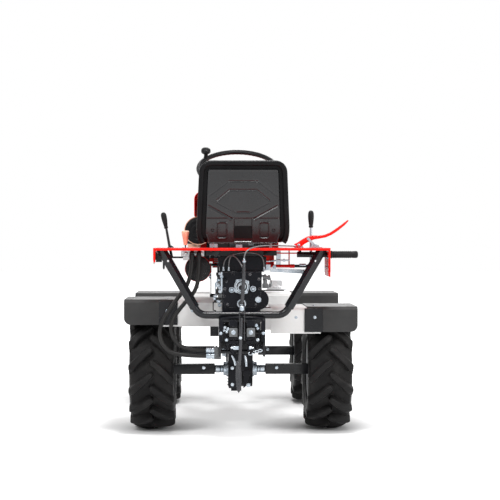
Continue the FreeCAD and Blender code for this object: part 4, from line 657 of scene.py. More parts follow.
def relax(piece):
    """Even out the ripples that cloth leaves."""
    shape = bmesh.new()
    shape.from_mesh(piece.data)
    for _ in range(4):
        bmesh.ops.smooth_vert(shape, verts=shape.verts[:], factor=0.5, use_axis_x=True,
                              use_axis_y=True, use_axis_z=True)
    shape.to_mesh(piece.data)
    shape.free()


def rest_on(piece, height, floor_at, way):
    """Press flat what went past its support: height of a point along way, in millimetres."""
    for vertex in piece.data.vertices:
        short = floor_at(vertex.co / MM) - height(vertex.co / MM)
        if short > 0:
            vertex.co += way * short * MM


def back_depth(point):
    return (point.y - SEAT_Y) * cos(RECLINE) + (point.z - SEAT_Z) * sin(RECLINE)


# front pad of the back rest
loops = []
for depth, inset in ((5, 9), (9, 5), (18, 4), (32, 5), (42, 10), (50, 20), (54, 34)):
    loops.append([seat_spot(x, depth, max(z, 66)) for x, z in back_line(inset, 66)])
form.rings(loops)
back_pad = form.finish("seat_back_pad", "seat_vinyl", ["seat_back_cushion"])
inflate(back_pad, 12)
relax(back_pad)
# seat pad, with a rolled front edge
outline = [(-366, 942), (-440, 936), (-560, 929), (-706, 922), (-754, 922), (-757, 940),
           (-757, 962), (-700, 968), (-690, 980), (-640, 984), (-520, 990), (-440, 998),
           (-400, 1004), (-372, 1000), (-356, 984), (-352, 962)]
middle_y, middle_z = -560, 958
form.rings([[(SEAT_X + across, middle_y + (y - middle_y) * (1 - shrink / 200),
              middle_z + (z - middle_z) * (1 - shrink / 34)) for y, z in outline]
            for across, shrink in ((-212, 16), (-208, 6), (-196, 2), (-100, 0), (0, 0),
                                   (100, 0), (196, 2), (208, 6), (212, 16))])
seat_pad = form.finish("seat_pad", "seat_vinyl", ["seat_cushion"])
inflate(seat_pad, 9)
relax(seat_pad)


def sewn(piece, distance):
    """Sewn channel: draw the surface in along lines where distance is zero."""
    deep, wide = 5, 7
    for vertex in piece.data.vertices:
        away = distance(vertex.co / MM)
        if away < 3 * wide:
            vertex.co -= vertex.normal * deep * MM * crease(away, wide)


def pad_lines(point):
    """Channels across the seat pad's top, inside a border seam."""
    x, y, z = point.x - SEAT_X, point.y, point.z
    if z < 968:
        return 99
    border = abs(abs(x) - 168) if y < -400 else 99
    cross = min(abs(y + 690), abs(y + 600), abs(y + 510), abs(y + 420)) if abs(x) < 170 else 99
    return min(border, cross)


def back_pad_lines(point):
    """The same on the back rest's front."""
    x = point.x - SEAT_X
    z = (point.z - SEAT_Z) / cos(RECLINE)
    if point.y < -772 - z * sin(RECLINE) + 34:
        return 99
    border = abs(abs(x) - 165) if 70 < z < 350 else 99
    cross = min(abs(z - 350), abs(z - 270), abs(z - 190), abs(z - 110)) if abs(x) < 167 else 99
    return min(border, cross)


sewn(seat_pad, pad_lines)
sewn(back_pad, back_pad_lines)
# the back pad rests on its board, the seat pad on the sloping base sheet
rest_on(back_pad, back_depth, lambda point: 12.5,
        Vector((0, cos(RECLINE), sin(RECLINE))))
rest_on(seat_pad, lambda point: point.z,
        lambda point: 917.5 + max(0, min(1, (point.y + 700) / 335)) * 21, Vector(UP))
for pad in (back_pad, seat_pad):
    pad.modifiers.new("finer", "SUBSURF").levels = 1
    pad.modifiers["finer"].render_levels = 1

# ---- body, chassis and running gear: nodes that keep their own shape
PLAIN = """
front_rim_left front_rim_right rear_rim_left rear_rim_right front_hub_left front_hub_right
rear_hub_left rear_hub_right gear_case rear_chassis front_chassis front_axle_case
articulation_yoke hitch_frame frame_post_left frame_post_right rear_bar control_deck
seat_support rear_mudguards front_mudguards rear_panels front_panels rear_guard_beams engine
exhaust hood steering_tower seat_springs black_link red_links zinc_links rear_bearing_caps
front_bearing_caps
""".split()
ROUNDED = {"hood": 5, "engine": 3, "front_mudguards": 5, "rear_mudguards": 5, "seat_support": 2,
           "gear_case": 2.5, "front_axle_case": 5, "control_deck": 0.8, "rear_panels": 0.8,
           "front_panels": 0.8, "steering_tower": 2, "hitch_frame": 1.5, "exhaust": 2.5}
for node in PLAIN:
    dressed(node, ROUNDED.get(node, 1.2))

# wheel nuts, valve stems, shaft pins and the bright sleeves beside the cases
for end, centre_y in (("front_", AXLE_Y), ("rear_", -AXLE_Y)):
    for word, side in WORDS:
        body = end + "wheel_" + word
        face = max(abs(corner.x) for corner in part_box(end + "hub_" + word)) / MM
        for number in range(5):
            turn = tau * (number + 0.25) / 5
            spot = (side * (face - 1), centre_y + NUT_CIRCLE * sin(turn),
                    AXLE_Z + NUT_CIRCLE * cos(turn))
            form.bolt(spot, (side, 0, 0), 19, 10)
        form.finish(end + "wheel_nuts_" + word, "zinc_plate", round_off=0.6, body=body)
        form.tube([(side * x, centre_y, AXLE_Z + up)
                   for x, up in ((470, 140), (492, 136), (512, 130))], [4.5, 4, 3.5], 10)
        form.finish(end + "valve_stem_" + word, "wheel_plastic", body=body)
        form.lathe((side * 180, centre_y - 31, 300), AFT,
                   [(0, 8.5), (2, 8.5), (2.6, 7), (4, 7), (4.6, 5)], 18)
        form.finish(end + "shaft_pin_" + word, "zinc_plate", body=body)
        form.lathe((side * 86, centre_y, AXLE_Z), (side, 0, 0),
                   [(0, 19), (0, 20), (10, 20), (10.8, 17), (13, 17), (13.8, 20), (34, 20),
                    (35, 19)], 32)
        form.finish(end + "shaft_sleeve_" + word, "zinc_plate", round_off=0.5, body=body)
for end, centre_y, body in (("front_", AXLE_Y, FRONT), ("rear_", -AXLE_Y, REAR)):
    for side in (-1, 1):
        form.lathe((side * 58, centre_y, AXLE_Z), (side, 0, 0),
                   [(0, 39), (9, 39), (10, 38), (10, 34), (24, 34), (25, 33), (25, 26),
                    (22, 24)], 40)
    form.finish(end + "bearing_rings", "zinc_plate", round_off=0.6, body=body)

# ---- deck edge, flanges and bolts
form.tube([(x, DECK_REAR, z) for x, z in ((-404, 826), (-404, 874), (-400, 884), (-390, 887.2),
                                          (-60, 887.2), (404, 887.2))], 4.6, 10)
form.tube([(404, DECK_REAR, 887), (404, DECK_REAR, 762)], 3.2, 8)
form.finish("deck_edge_roll", "deck_red")
form.box((150, -925, 889.5), (398, -905, 891.8))
form.finish("deck_lip", "deck_red", round_off=0.8)
for x in (-372, -338, 180, 352):
    form.bolt((x, -930, 889.4), UP, 5, 1.2, washer=False)
form.bolts((1, 0, 0), 9, 5, (-405, -890, 862), (-405, -862, 846), (-405, -820, 868),
           (-405, -790, 850))
form.bolts((-1, 0, 0), 9, 5, (405, -900, 846), (405, -840, 846), (405, -780, 800))
form.finish("deck_screws", "zinc_plate", round_off=0.4)
form.box((-402, -900, 836), (-366, -896, 868))
form.box((-400, -880, 826), (-372, -876, 842))
form.lathe((-364, -868, 826), DOWN, [(0, 5), (26, 5), (34, 2.5)], 14)
form.finish("left_flange_tabs", "frame_black", round_off=0.8)

# ---- levers and grips
LEVER_Y = -725


def knob(start, end, outline, steps=28):
    """Turned piece between two points; outline is (share of length, radius)."""
    start, end = Vector(start), Vector(end)
    way = end - start
    form.lathe(start, way, [(share * way.length, radius) for share, radius in outline], steps)


form.tube([(-330, LEVER_Y, 842), (-341, LEVER_Y, 893), (-353, LEVER_Y, 960),
           (-360, LEVER_Y, 1000)], [6.5, 6.5, 6, 5.5], 18)
form.lathe((-337, LEVER_Y, 890), (-0.2, 0, 1), [(0, 17), (3, 17), (9, 11), (12, 8)], 26)
form.tube([(-333, LEVER_Y, 846), (-262, LEVER_Y, 846)], 4.3, 14)
form.bolt((-262, LEVER_Y, 846), (1, 0, 0), 11, 6)
form.finish("left_lever_rod", "frame_black", ["left_lever"], angle=40)
form.tube([(336, LEVER_Y, 792), (336.2, LEVER_Y, 892), (336.5, LEVER_Y, 1004)], [6, 6, 5.2], 18)
form.lathe((336.2, LEVER_Y, 893), UP, [(0, 9), (5, 9), (6, 7)], 6)
form.finish("right_lever_rod", "zinc_plate", ["right_lever"], angle=40)
shares = (0, 0.04, 0.1, 0.13, 0.2, 0.45, 0.66, 0.82, 0.92, 0.98, 1)
knob((-357.5, LEVER_Y, 984), (-373, LEVER_Y, 1061),
     zip(shares, (7.5, 9.5, 9.5, 8.6, 9.6, 12.4, 13.6, 13.4, 11.5, 7.5, 3)))
knob((336.3, LEVER_Y, 988), (336.3, LEVER_Y, 1071),
     zip(shares, (8, 10.5, 10.5, 9.4, 10.6, 13.2, 14.2, 13.6, 11.5, 7.5, 3)))
handle = [(0, 13), (0.01, 18), (0.03, 19), (0.05, 18)]
for rib in range(9):
    share = 0.10 + rib * 0.075
    handle += [(share, 15.4), (share + 0.018, 17.2), (share + 0.042, 17.2), (share + 0.06, 15.4)]
handle += [(0.82, 16.5), (0.94, 17), (0.98, 15), (1, 10)]
knob((424, -790, 860), (555, -790, 860), handle)
form.finish("lever_grips", "grip_rubber", ["hand_grips"], angle=40)
knob((-266, LEVER_Y, 905), (-266, LEVER_Y, 974),
     [(0, 7.5), (0.02, 9), (0.10, 9.6), (0.35, 12.2), (0.62, 15.6), (0.80, 17.6), (0.90, 18),
      (0.96, 17), (0.99, 14), (1, 8)], 36)
form.finish("orange_knob", "knob_orange", ["orange_lever"], angle=40)
form.tube([(-266, LEVER_Y, 889.5), (-266, LEVER_Y, 907)], 3.2, 12)
form.box((-284, -737, 888.5), (-248, -713, 891.5))
form.bolts(UP, 5, 2.5, (-278, LEVER_Y, 891), (-254, LEVER_Y, 891))
form.finish("orange_knob_stem", "frame_black", round_off=0.5)
curve = [(256, 900), (275, 905), (297, 921), (320, 934), (345, 941), (372, 943), (402, 948),
         (430, 960), (460, 980), (490, 1003), (512, 1023)]
halves = [12, 15, 14.5, 14.5, 12, 9.5, 9, 9, 9, 8, 5]
loops = []
for index, ((x, z), half) in enumerate(zip(curve, halves)):
    run = run_at(curve, index)
    up = Vector((-run.y, run.x)) * (half - 2)
    loops.append([(x + up.x * a, -758 + b, z + up.y * a)
                  for a, b in ((1, -9), (1, 9), (0.6, 12), (-0.6, 12), (-1, 9), (-1, -9),
                               (-0.6, -12), (0.6, -12))])
form.rings(loops)
form.finish("brake_handle", "deck_red", ["hand_lever"], round_off=2, angle=40)
form.bolts(AFT, 9, 4.5, (275, -769, 905), (320, -769, 934))
form.slab([(314, 936), (318, 941), (322, 940), (359, 901), (362, 896), (357, 892), (353, 893),
    (316, 931)], -777, -774)
form.bolt((357, -776, 897), AFT, 8, 4)
form.slab([(330, 892), (376, 892), (370, 905), (352, 909), (336, 902)], -770, -766)
form.slab([(262, 892), (300, 892), (292, 908), (278, 914), (266, 906)], -745, -741)
form.finish("brake_handle_links", "zinc_plate", round_off=0.6)
form.tube([(281, -726, 809), (311, -726, 809)], 6.5, 14)
form.slab([(318, 779), (340, 779), (340, 813), (318, 813)], -728, -724)
form.bolts(AFT, 8, 4, (329, -728, 803), (329, -728, 788))
form.tube([(120, -738, 826), (180, -738, 832), (232, -738, 832)], 3.6, 12)
form.bolt((206, -739, 832), AFT, 9, 5)
form.bolt((160, -739, 800), AFT, 11, 6)
form.finish("side_linkage", "zinc_plate", round_off=0.5)
form.tube(coil(300, -716, 786, 6.5, 0.7, -0.42, 70), 1.3, 6)
form.finish("link_spring", "frame_black")
form.lathe((300, -716, 757), DOWN, [(-2, 4), (0, 7.5), (6, 8), (11, 6), (13, 2)], 18)
form.finish("link_knob", "knob_orange")

# ---- steering wheel
TILT = radians(29)
WHEEL_AT = Vector((0, 75, 1315))
RIM_RADIUS, RIM_STEPS = 211, 112

rim_way = Euler((TILT, 0, 0)).to_matrix()
loops = []
for step in range(RIM_STEPS + 1):
    turn = tau * step / RIM_STEPS
    out = rim_way @ Vector((cos(turn), sin(turn), 0))
    up = rim_way @ Vector(UP)
    loop = []
    for part in range(16):
        angle = tau * part / 16
        grip = 13.4 - (0.9 if step % 2 and sin(angle) < -0.2 else 0)
        loop.append(WHEEL_AT + out * (RIM_RADIUS + grip * cos(angle)) + up * grip * sin(angle))
    loops.append(loop)
form.rings(loops, caps=False)
form.weld()
up = rim_way @ Vector(UP)
for turn in (radians(-90), radians(30), radians(150)):
    tip = WHEEL_AT + rim_way @ Vector((206 * cos(turn), 206 * sin(turn), 0))
    foot = WHEEL_AT + rim_way @ Vector((26 * cos(turn), 26 * sin(turn), -33))
    bend = WHEEL_AT + rim_way @ Vector((150 * cos(turn), 150 * sin(turn), -14))
    form.tube([foot, bend, tip], [8, 7, 7], 14)
form.lathe(WHEEL_AT - up * 122, up, [(0, 9), (76, 9), (78, 30), (82, 34), (100, 33), (108, 25),
    (111, 22), (113, 10)], 36)
way = Vector((-0.82, 0.5723, 0))
stem_at = WHEEL_AT + rim_way @ (way * RIM_RADIUS)
form.lathe(stem_at, up, [(2, 13), (10, 13), (14, 11.3), (26, 11), (34, 12), (37, 20), (41, 25),
    (48, 26.2), (56, 25.5), (62, 22), (66, 15), (68, 6)], 36)
form.finish("steering_rim", "wheel_plastic", ["steering_wheel"], angle=40, body="steering_wheel")

# ---- case: plate, boss and plugs
CASE_REAR = -858
outline = []
for step in range(96):
    turn = tau * step / 96
    lobe = max(0, cos(4 * (turn - radians(38)))) ** 3
    outline.append((1 + (35.5 + 5.5 * lobe) * cos(turn), 711 + (35.5 + 5.5 * lobe) * sin(turn)))
form.slab(outline, BOSS_REAR, CASE_REAR)
form.lathe((-2, BOSS_REAR, 706), AFT, [(-1, 18), (5, 18), (6, 17), (6, 12), (4, 11)], 40)
for x, z, radius in ((-46, 695, 14), (54, 700, 14.5)):
    form.lathe((x, CASE_REAR, z), AFT, [(-2, radius), (10, radius), (12, radius - 1.5),
        (12, radius - 5), (10, radius - 6)], 32)
    form.bolt((x, -868, z), AFT, 12, 5, washer=False)
form.lathe((78, CASE_REAR, 649), AFT, [(-2, 15), (5, 15), (7, 13.5), (7, 9), (5.5, 8)], 32)
form.lathe((0, CASE_REAR, 630), AFT,
           [(-2, 22), (6, 22), (8, 20.5), (8, 15), (6, 14), (6, 9), (9, 8)], 36)
for angle in (38, 128, 218, 308):
    turn = radians(angle)
    form.bolt((1 + 35 * cos(turn), BOSS_REAR, 711 + 35 * sin(turn)), AFT, 8, 4)
form.lathe((-76, CASE_REAR, 750), AFT, [(-2, 7.5), (4, 7.5), (5, 6.5), (5, 3.6), (2, 3.2)], 24)
form.finish("case_boss", "zinc_plate", ["case_fittings"], round_off=0.8)


def groove_shade_ring(at, inner, outer, steps, high=0.8):
    """Flat dark ring on a face that looks aft: painted shade standing in for a groove or recess.
    """
    form.lathe(at, AFT, [(0, outer), (high, outer), (high, inner), (0, inner)], steps, caps=False)


# dark rings and a dark disc: painted shade in the grooves and recesses of the boss, the plug and
# the bolts' seats
groove_shade_ring((1, BOSS_REAR, 711), 19, 25, 44)
groove_shade_ring((1, BOSS_REAR, 711), 30.5, 33, 44)
groove_shade_ring((0, -866, 630), 9, 15.5, 36)
form.lathe((-2, -876, 706), AFT, [(0, 12), (0.4, 12), (0.4, 1)], 32)
for x, z in ((-46, 695), (54, 700)):
    groove_shade_ring((x, -869.5, z), 7.5, 9.8, 28, 0.6)
form.finish("case_boss_groove_shade", "valve_black")
form.slab([(-86, 778), (-88, 690), (-84, 640), (-76, 612), (73, 612), (88, 640), (92, 700),
            (92, 778)], -863, CASE_REAR)
form.bolts(AFT, 8, 4, *[(x, -863, z) for x, z in (
    (-72, 735), (-78, 700), (-80, 665), (-66, 625), (66, 625), (84, 700), (82, 745), (-40, 768),
    (40, 768))])
form.finish("case_rear_plate", "case_black", round_off=1.2)
form.slab([(-112, 852), (-104, 800), (-98, 786), (-90, 781), (104, 781), (112, 787),
            (115, 800), (118, 852)], -845, -826)
form.box((-96, -862, 780), (106, -845, 785))
form.finish("case_top_block", "case_black", round_off=4)
# fittings down the case's left side and the small castings on its right
for x, y, z, axis, size in (
        (-96, -852, 770, (-1, 0, 0), 12), (-104, -840, 742, (-1, 0, 0.1), 15),
        (-94, -862, 758, AFT, 10), (-112, -846, 716, AFT, 12),
        (-96, -850, 704, (-1, 0, 0), 16), (-100, -856, 688, AFT, 11),
        (-118, -842, 664, (-1, 0, 0), 15), (-104, -848, 640, (-1, 0, 0.3), 14),
        (-126, -838, 652, AFT, 10), (-98, -846, 622, (-1, 0, 0), 11)):
    at, axis = Vector((x, y, z)), Vector(axis)
    form.lathe(at - axis * 4, axis, [(0, size * 0.55), (9, size * 0.55), (10, size * 0.4)], 18)
    form.bolt(at + axis * 5, axis, size, 7)
form.slab([(-98, 779), (-90, 779), (-90, 690), (-96, 690)], -866, -862)
form.tube([(-104, -842, 742), (-122, -846, 726), (-124, -846, 700), (-118, -842, 668)], 3.4, 12)
form.tube([(-96, -850, 768), (-114, -852, 752), (-116, -850, 722)], 2.6, 10)
form.finish("case_left_fittings", "zinc_plate", round_off=0.6)
form.box((-112, -858, 748), (-92, -830, 764))
form.box((-122, -850, 674), (-90, -820, 698))
form.box((-130, -846, 634), (-92, -818, 658))
form.lathe((-108, -826, 776), DOWN, [(0, 12), (14, 12), (16, 9), (24, 9)], 22)
form.tube([(-133, -850, 640), (-133, -850, 600), (-120, -846, 596)], 3, 10)
form.finish("case_left_blocks", "valve_black", round_off=1.5)
form.lathe((100, -838, 752), (1, 0, 0), [(0, 13), (12, 13), (13, 9), (24, 9), (25, 12), (34, 12),
    (36, 10)], 24)
form.lathe((112, -838, 768), DOWN, [(0, 6), (26, 6), (28, 10), (46, 10), (50, 7)], 20)
form.box((98, -848, 702), (126, -826, 724))
form.tube([(100, -842, 706), (136, -846, 708), (141, -846, 732), (132, -842, 758)], 2.8, 10)
form.bolt((134, -846, 716), AFT, 9, 5)
form.bolt((112, -849, 713), AFT, 10, 5)
form.finish("case_right_castings", "engine_grey", round_off=1)

# ---- hitch
for side in (-1, 1):
    x = side * HITCH_X
    form.slab([(x - 19, 484), (x + 19, 484), (x + 19, 522), (x + 15, 525), (x - 15, 525),
                (x - 19, 522)], -986, -978)
form.finish("hitch_clamp_plates", "engine_grey", round_off=1.2)
for side in (-1, 1):
    x = side * HITCH_X
    form.box((x - 19, -988, 532), (x + 19, -960, 562))
    form.box((x - 22, -984, 470), (x + 22, -958, 481))
    form.box((x - 20, -980, 452), (x + 20, -955, 466))
    form.lathe((x, -972, 448), DOWN,
               [(0, 15), (8, 15), (9, 13), (16, 13), (17, 16), (26, 16), (30, 12), (44, 11)], 24)
    form.slab([(side * 107, 560), (side * 92, 564), (side * 86, 540), (side * 90, 470),
        (side * 104, 448), (side * 107, 470)], -980, -972)
    form.tube([(side * 74, -978, 530), (side * 80, -982, 505), (side * 76, -982, 478),
        (side * 68, -976, 452)], 4.5, 12)
    form.tube(coil(side * 68, -976, 468, 8, 0.6, -0.5, 90), 1.8, 6)
form.tube([(-100, -975, 566), (-60, -980, 572), (60, -980, 572), (100, -975, 566)], 6, 12)
form.slab([(-56, 330), (-22, 330), (-18, 300), (-20, 214), (-26, 208), (-58, 208),
           (-60, 300)], -640, -610)
form.slab([(14, 330), (60, 330), (58, 300), (22, 214), (14, 208)], -640, -612)
for z in (222, 236, 250, 264):
    form.box((-64, -636, z), (-56, -616, z + 6))
form.finish("hitch_bodies", "case_black", round_off=1.6)
for side in (-1, 1):
    form.bolt((side * HITCH_X, -986, 504), AFT, 13, 8)
    form.bolt((side * 98, -980, 500), AFT, 9, 5)
    form.bolt((side * 72, -984, 470), AFT, 9, 6)
    form.lathe((side * 30, -984, 433), (side, 0, 0),
               [(0, 5), (2, 8), (10, 8), (12, 5), (22, 5)], 20)
form.slab([(-40, 425), (-14, 425), (-10, 433), (-14, 441), (-40, 441), (-44, 433)], -990, -984)
form.bolts(AFT, 9, 7, *[(x, -978, z) for x, z in (
    (-78, 526), (-66, 520), (-72, 508), (-80, 512), (66, 536), (74, 522))])
for number in range(4):
    x, z = 38 + 15 * number, 406 + 4.5 * number
    form.tube(circle(x, -975 if number % 2 else -980, z, 9, 5.5, 16), 2.2, 8)
form.tube([(-46, -960, 396), (-34, -964, 372), (-30, -966, 350)], [5, 6, 5], 14)
form.tube([(14, -960, 396), (18, -964, 372), (20, -966, 346)], [5, 6, 5], 14)
form.bolt((38, -641, 222), AFT, 12, 6)
form.bolts(AFT, 10, 6, (-40, -641, 226), (-40, -641, 306))
form.finish("hitch_bolts", "zinc_plate", round_off=0.5)

# ---- panels, guards and posts
form.bolts(AFT, 9, 4, (-233, -765, 592), (262, -765, 560), (-352, -771, 590), (352, -771, 560))
form.bolts(UP, 9, 4, (-352, -690, 645), (352, -690, 610))
form.finish("rear_panel_bolts", "zinc_plate", round_off=0.5)
for side in (-1, 1):
    form.bolt((side * 360, 560, 629), UP, 9, 4)
    form.bolt((side * 330, 300, 560), AFT, 9, 4)
form.finish("front_panel_bolts", "zinc_plate", round_off=0.5, body=FRONT)
form.box((92, -764, 500), (146, -761, 604))
form.box((-130, -764, 536), (-92, -761, 640))
form.finish("panel_inner_lips", "panel_grey", round_off=0.8)
for side in (-1, 1):
    foot = Vector((side * 222, -925, 628))
    head = Vector((side * 372, -925, 868))
    way = (head - foot).normalized()
    face = (way.cross(Vector(AFT)) * -side).normalized()
    turned = (Matrix.Rotation(radians(side * 32), 3, way) @ face).normalized()
    wide = way.cross(turned).normalized()
    for number in range(24):
        at = foot + way * (8 + number * 7.0) + turned * 16.2
        form.rings([[at + wide * a + way * b + turned * depth for a, b in
                     ((-12, -1.6), (12, -1.6), (12, 1.6), (-12, 1.6))] for depth in (-1, 1.3)])
form.finish("post_grip_ribs", "grip_rubber", round_off=0.4)

# ---- seat back board and springs
form.rings([[seat_spot(x, depth, z) for x, z in back_line(20, 24)] for depth in (7, 11)])
form.finish("seat_back_board", "seat_vinyl")
for x in (-112, -76, 78, 114):
    form.tube(coil(SEAT_X + x, -690, 892, 13, 0.5, 0.28, 72), 2, 6)
for x in (-95, 96):
    form.box((SEAT_X + x - 26, -742, 892), (SEAT_X + x + 26, -736, 911))
form.box((SEAT_X - 60, -744, 893), (SEAT_X + 60, -738, 903))
form.finish("seat_springs_dark", "frame_black", round_off=0.6)
form.box((-25, -752, 892), (6, -742, 907))
form.bolt((-10, -752, 900), AFT, 8, 4)
form.finish("seat_latch", "zinc_plate", round_off=1)

# ---- hydraulic valve, hoses' ends
FILTER_X, FILTER_Z = -205, 793
form.box((-284, -798, 852), (-176, -704, 886))
form.box((-276, -800, 834), (-186, -712, 852))
for x in (-262, -238, -214, -190):
    form.lathe((x, -796, 866), AFT, [(-2, 9), (4, 9), (5, 7), (9, 7), (10, 5)], 20)
form.finish("valve_body", "checker_aluminium", round_off=2)
for x in (-233, -200):
    form.lathe((x, -850, 836), UP, [(0, 12.5), (6, 13), (24, 13), (26, 11), (34, 11), (35, 9)], 28)
    form.tube([(x, -850, 866), (x, -836, 874), (x, -800, 876)], 9, 18)
form.lathe((FILTER_X, -764, FILTER_Z), AFT, [(-30, 40), (-28, 58), (30, 59.5), (34, 61), (38, 60),
    (40, 56), (40, 20), (44, 18), (46, 8)], 60)
for radius in (50, 42, 34):
    form.tube(circle(FILTER_X, -804, FILTER_Z, radius, radius, 48), 1.4, 6)
form.tube([(-212, -770, 735), (-212, -770, 712)], 3.5, 12)
form.box((-222, -773, 700), (-202, -767, 712))
form.box((-215, -776, 692), (-209, -764, 702))
form.box((-200, -700, 826), (-150, -640, 884))
form.box((-205, -700, 760), (-180, -560, 800))
form.finish("valve_filter", "valve_black", ["hydraulic_valve"], round_off=1)
form.tube(circle(FILTER_X, -799, FILTER_Z, 60.5, 60.5, 64), 1.6, 8)
form.finish("filter_red_ring", "deck_red")
form.box((-128, -892, 372), (-96, -862, 428))
form.bolts(AFT, 10, 5, (-112, -892, 380), (-112, -892, 400), (-112, -892, 420))
form.bolt((-118, -877, 428), UP, 10, 5, washer=False)
form.finish("line_block", "engine_grey", round_off=1.5)
for z in (386, 414):
    form.lathe((-166, -875, z), (1, 0, 0),
               [(0, 11), (0, 13), (20, 13.5), (22, 12), (26, 12), (27, 14), (38, 14),
                (39, 12)], 28)
for at, axis in (((-85, -850, 801), DOWN), ((-60, -850, 801), DOWN), ((106, -850, 801), DOWN),
                 ((9, -981, 790), AFT), ((9, -1001, 843), DOWN), ((256, -792, 899), FORE)):
    form.lathe(at, axis, [(-2, 4), (10, 4.6), (11, 6), (18, 6)], 16)
form.finish("line_ends", "zinc_plate", ["hose_fittings"], round_off=0.5)

# ---- hitch lever
# dark steel: its light edge colour is a painted highlight on the hitch lever's edges
dark_steel = finish_of("dark_steel", (0.035, 0.036, 0.04), (0.06, 0.06, 0.065), 0.26,
                       (260, 0.0002), metallic=0.6, wear_and_highlight=((0.34, 0.34, 0.35), 0.0016))
form.tube([(9, -1000, 826), (8.4, -999, 822), (7, -996, 760), (3, -992, 690), (-1, -990, 634)],
           [6, 8.2, 8.2, 8.4, 8.8], 20)
for x in (-14, 8):
    form.slab([(-986, 640), (-1002, 640), (-1003, 560), (-1000, 468), (-985, 468),
                (-982, 560)], x, x + 4, "YZ")
form.tube([(-3, -992, 572), (-5, -993, 500), (-9, -993, 420), (-13, -990, 355)],
           [9, 9, 8, 7.5], 18)
form.slab([(-26, 372), (-8, 372), (-4, 330), (-2, 282), (-8, 240), (-16, 226), (-24, 238),
            (-30, 290), (-30, 340)], -994, -988)
form.slab([(-18, 366), (-13, 366), (-9, 300), (-14, 250), (-19, 300)], -1003, -994)
made = form.finish("hitch_lever_bar", "frame_black", ["hitch_lever"], round_off=1)
made.data.materials[0] = dark_steel
form.bolt((-1, -1000, 616), AFT, 15, 3.5)
form.bolt((-8, -1000, 480), AFT, 9, 3)
form.lathe((9, -1001, 826), UP, [(0, 7), (2, 9), (8, 9), (10, 6)], 20)
form.finish("hitch_lever_bolts", "zinc_plate", round_off=0.5)

# ---- air cleaner and engine
CLEANER_X, CLEANER_Z = -215, 981
form.lathe((CLEANER_X, 405, CLEANER_Z), AFT,
           [(0, 60), (4, 72), (20, 76), (150, 77), (156, 78), (160, 78), (164, 75), (168, 70),
            (168, 62), (172, 60), (172, 50), (169, 48), (169, 38), (173, 36), (173, 26),
            (170, 24), (170, 14), (176, 12), (179, 6)], 72)
form.lathe((-240, 300, 914), DOWN, [(-34, 38), (0, 40), (3, 41), (6, 38)], 40)
form.tube([(-150, 330, 981), (-120, 345, 985), (-96, 350, 985)], [30, 27, 25], 28)
form.finish("air_cleaner_can", "wheel_plastic", ["air_cleaner"], round_off=1, angle=40,
            body=FRONT)
form.tube(circle(CLEANER_X, 240, CLEANER_Z, 77, 77, 72), 2, 8)
form.lathe((-240, 300, 908), DOWN, [(0, 36), (14, 37), (20, 34), (23, 26), (24, 8)], 40)
form.finish("air_cleaner_amber", "knob_orange", angle=40, body=FRONT)
for number in range(9):
    z = 800 + number * 12
    form.box((-128, 420, z), (128, 560, z + 3))
for x in (-60, 60):
    form.box((x - 34, 470, 905), (x + 34, 560, 960))
form.finish("engine_fins", "engine_grey", round_off=0.6, body=FRONT)
for side in (-1, 1):
    for y, z in ((340, 600), (340, 720), (480, 570), (620, 600), (620, 720), (560, 840)):
        form.bolt((side * 150, y, z), (side, 0, 0), 13, 7)
    for y in (420, 520, 620, 720):
        form.bolt((side * 120, y, 530), DOWN, 12, 6)
form.finish("engine_bolts", "zinc_plate", round_off=0.5, body=FRONT)

# ---- hood, grille and lamps
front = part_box("hood")[1].y / MM
LAMP_X, LAMP_Z = 165, 1065
for number in range(17):
    x = -160 + number * 20
    form.slab([(x - 2, 822), (x + 2, 822), (x + 2, 952), (x - 2, 952)], front + 0.5, front + 5)
for number in range(5):
    z = 848 + number * 26
    form.tube([(-170, front + 3, z), (170, front + 3, z)], 2.6, 10)
for z in (820, 954):
    form.box((-178, front - 1, z - 5), (178, front + 7, z + 5))
for x in (-176, 176):
    form.box((x - 5, front - 1, 816), (x + 5, front + 7, 958))
form.box((-174, front - 14, 818), (174, front - 9, 956))
form.finish("hood_grille", "frame_black", round_off=0.8, body="hood")
for side in (-1, 1):
    form.lathe((side * LAMP_X, front - 2, LAMP_Z), FORE,
               [(0, 58), (14, 59), (18, 57), (19, 54), (18, 50), (14, 48)], 64)
    form.lathe((side * LAMP_X, front + 10, LAMP_Z), FORE, [(0, 30), (5.5, 30), (6, 28)], 48)
form.finish("lamp_rings", "zinc_plate", body="hood")
for side in (-1, 1):
    form.lathe((side * LAMP_X, front, LAMP_Z), FORE,
               [(0, 51), (12, 51), (15, 44), (14, 38), (16.5, 32), (15.5, 24), (18, 14),
                (18.5, 4)], 64)
form.finish("lamp_glass", "lamp_lens", ["headlamps"], body="hood")
for side in (-1, 1):
    for number in range(3):
        z = 930 + number * 30
        form.slab([(520, z), (740, z), (740, z + 13), (520, z + 13)],
                  side * HOOD_HALF, side * (HOOD_HALF + 3.5), "YZ")
form.finish("hood_side_vents", "frame_black", round_off=1, body="hood")
for side in (-1, 1):
    for y in (260, 900):
        form.bolt((side * HOOD_HALF, y, 900), (side, 0, 0), 10, 1.5, washer=False)
form.finish("hood_screws", "zinc_plate", round_off=0.3, body="hood")

# ---- foot plates, yoke and tower
def tread_height(y, drop):
    """Top of a foot plate: level at the rear, rising forward of y = -130."""
    return 674 - drop + max(0, y + 130) / 70 * 41


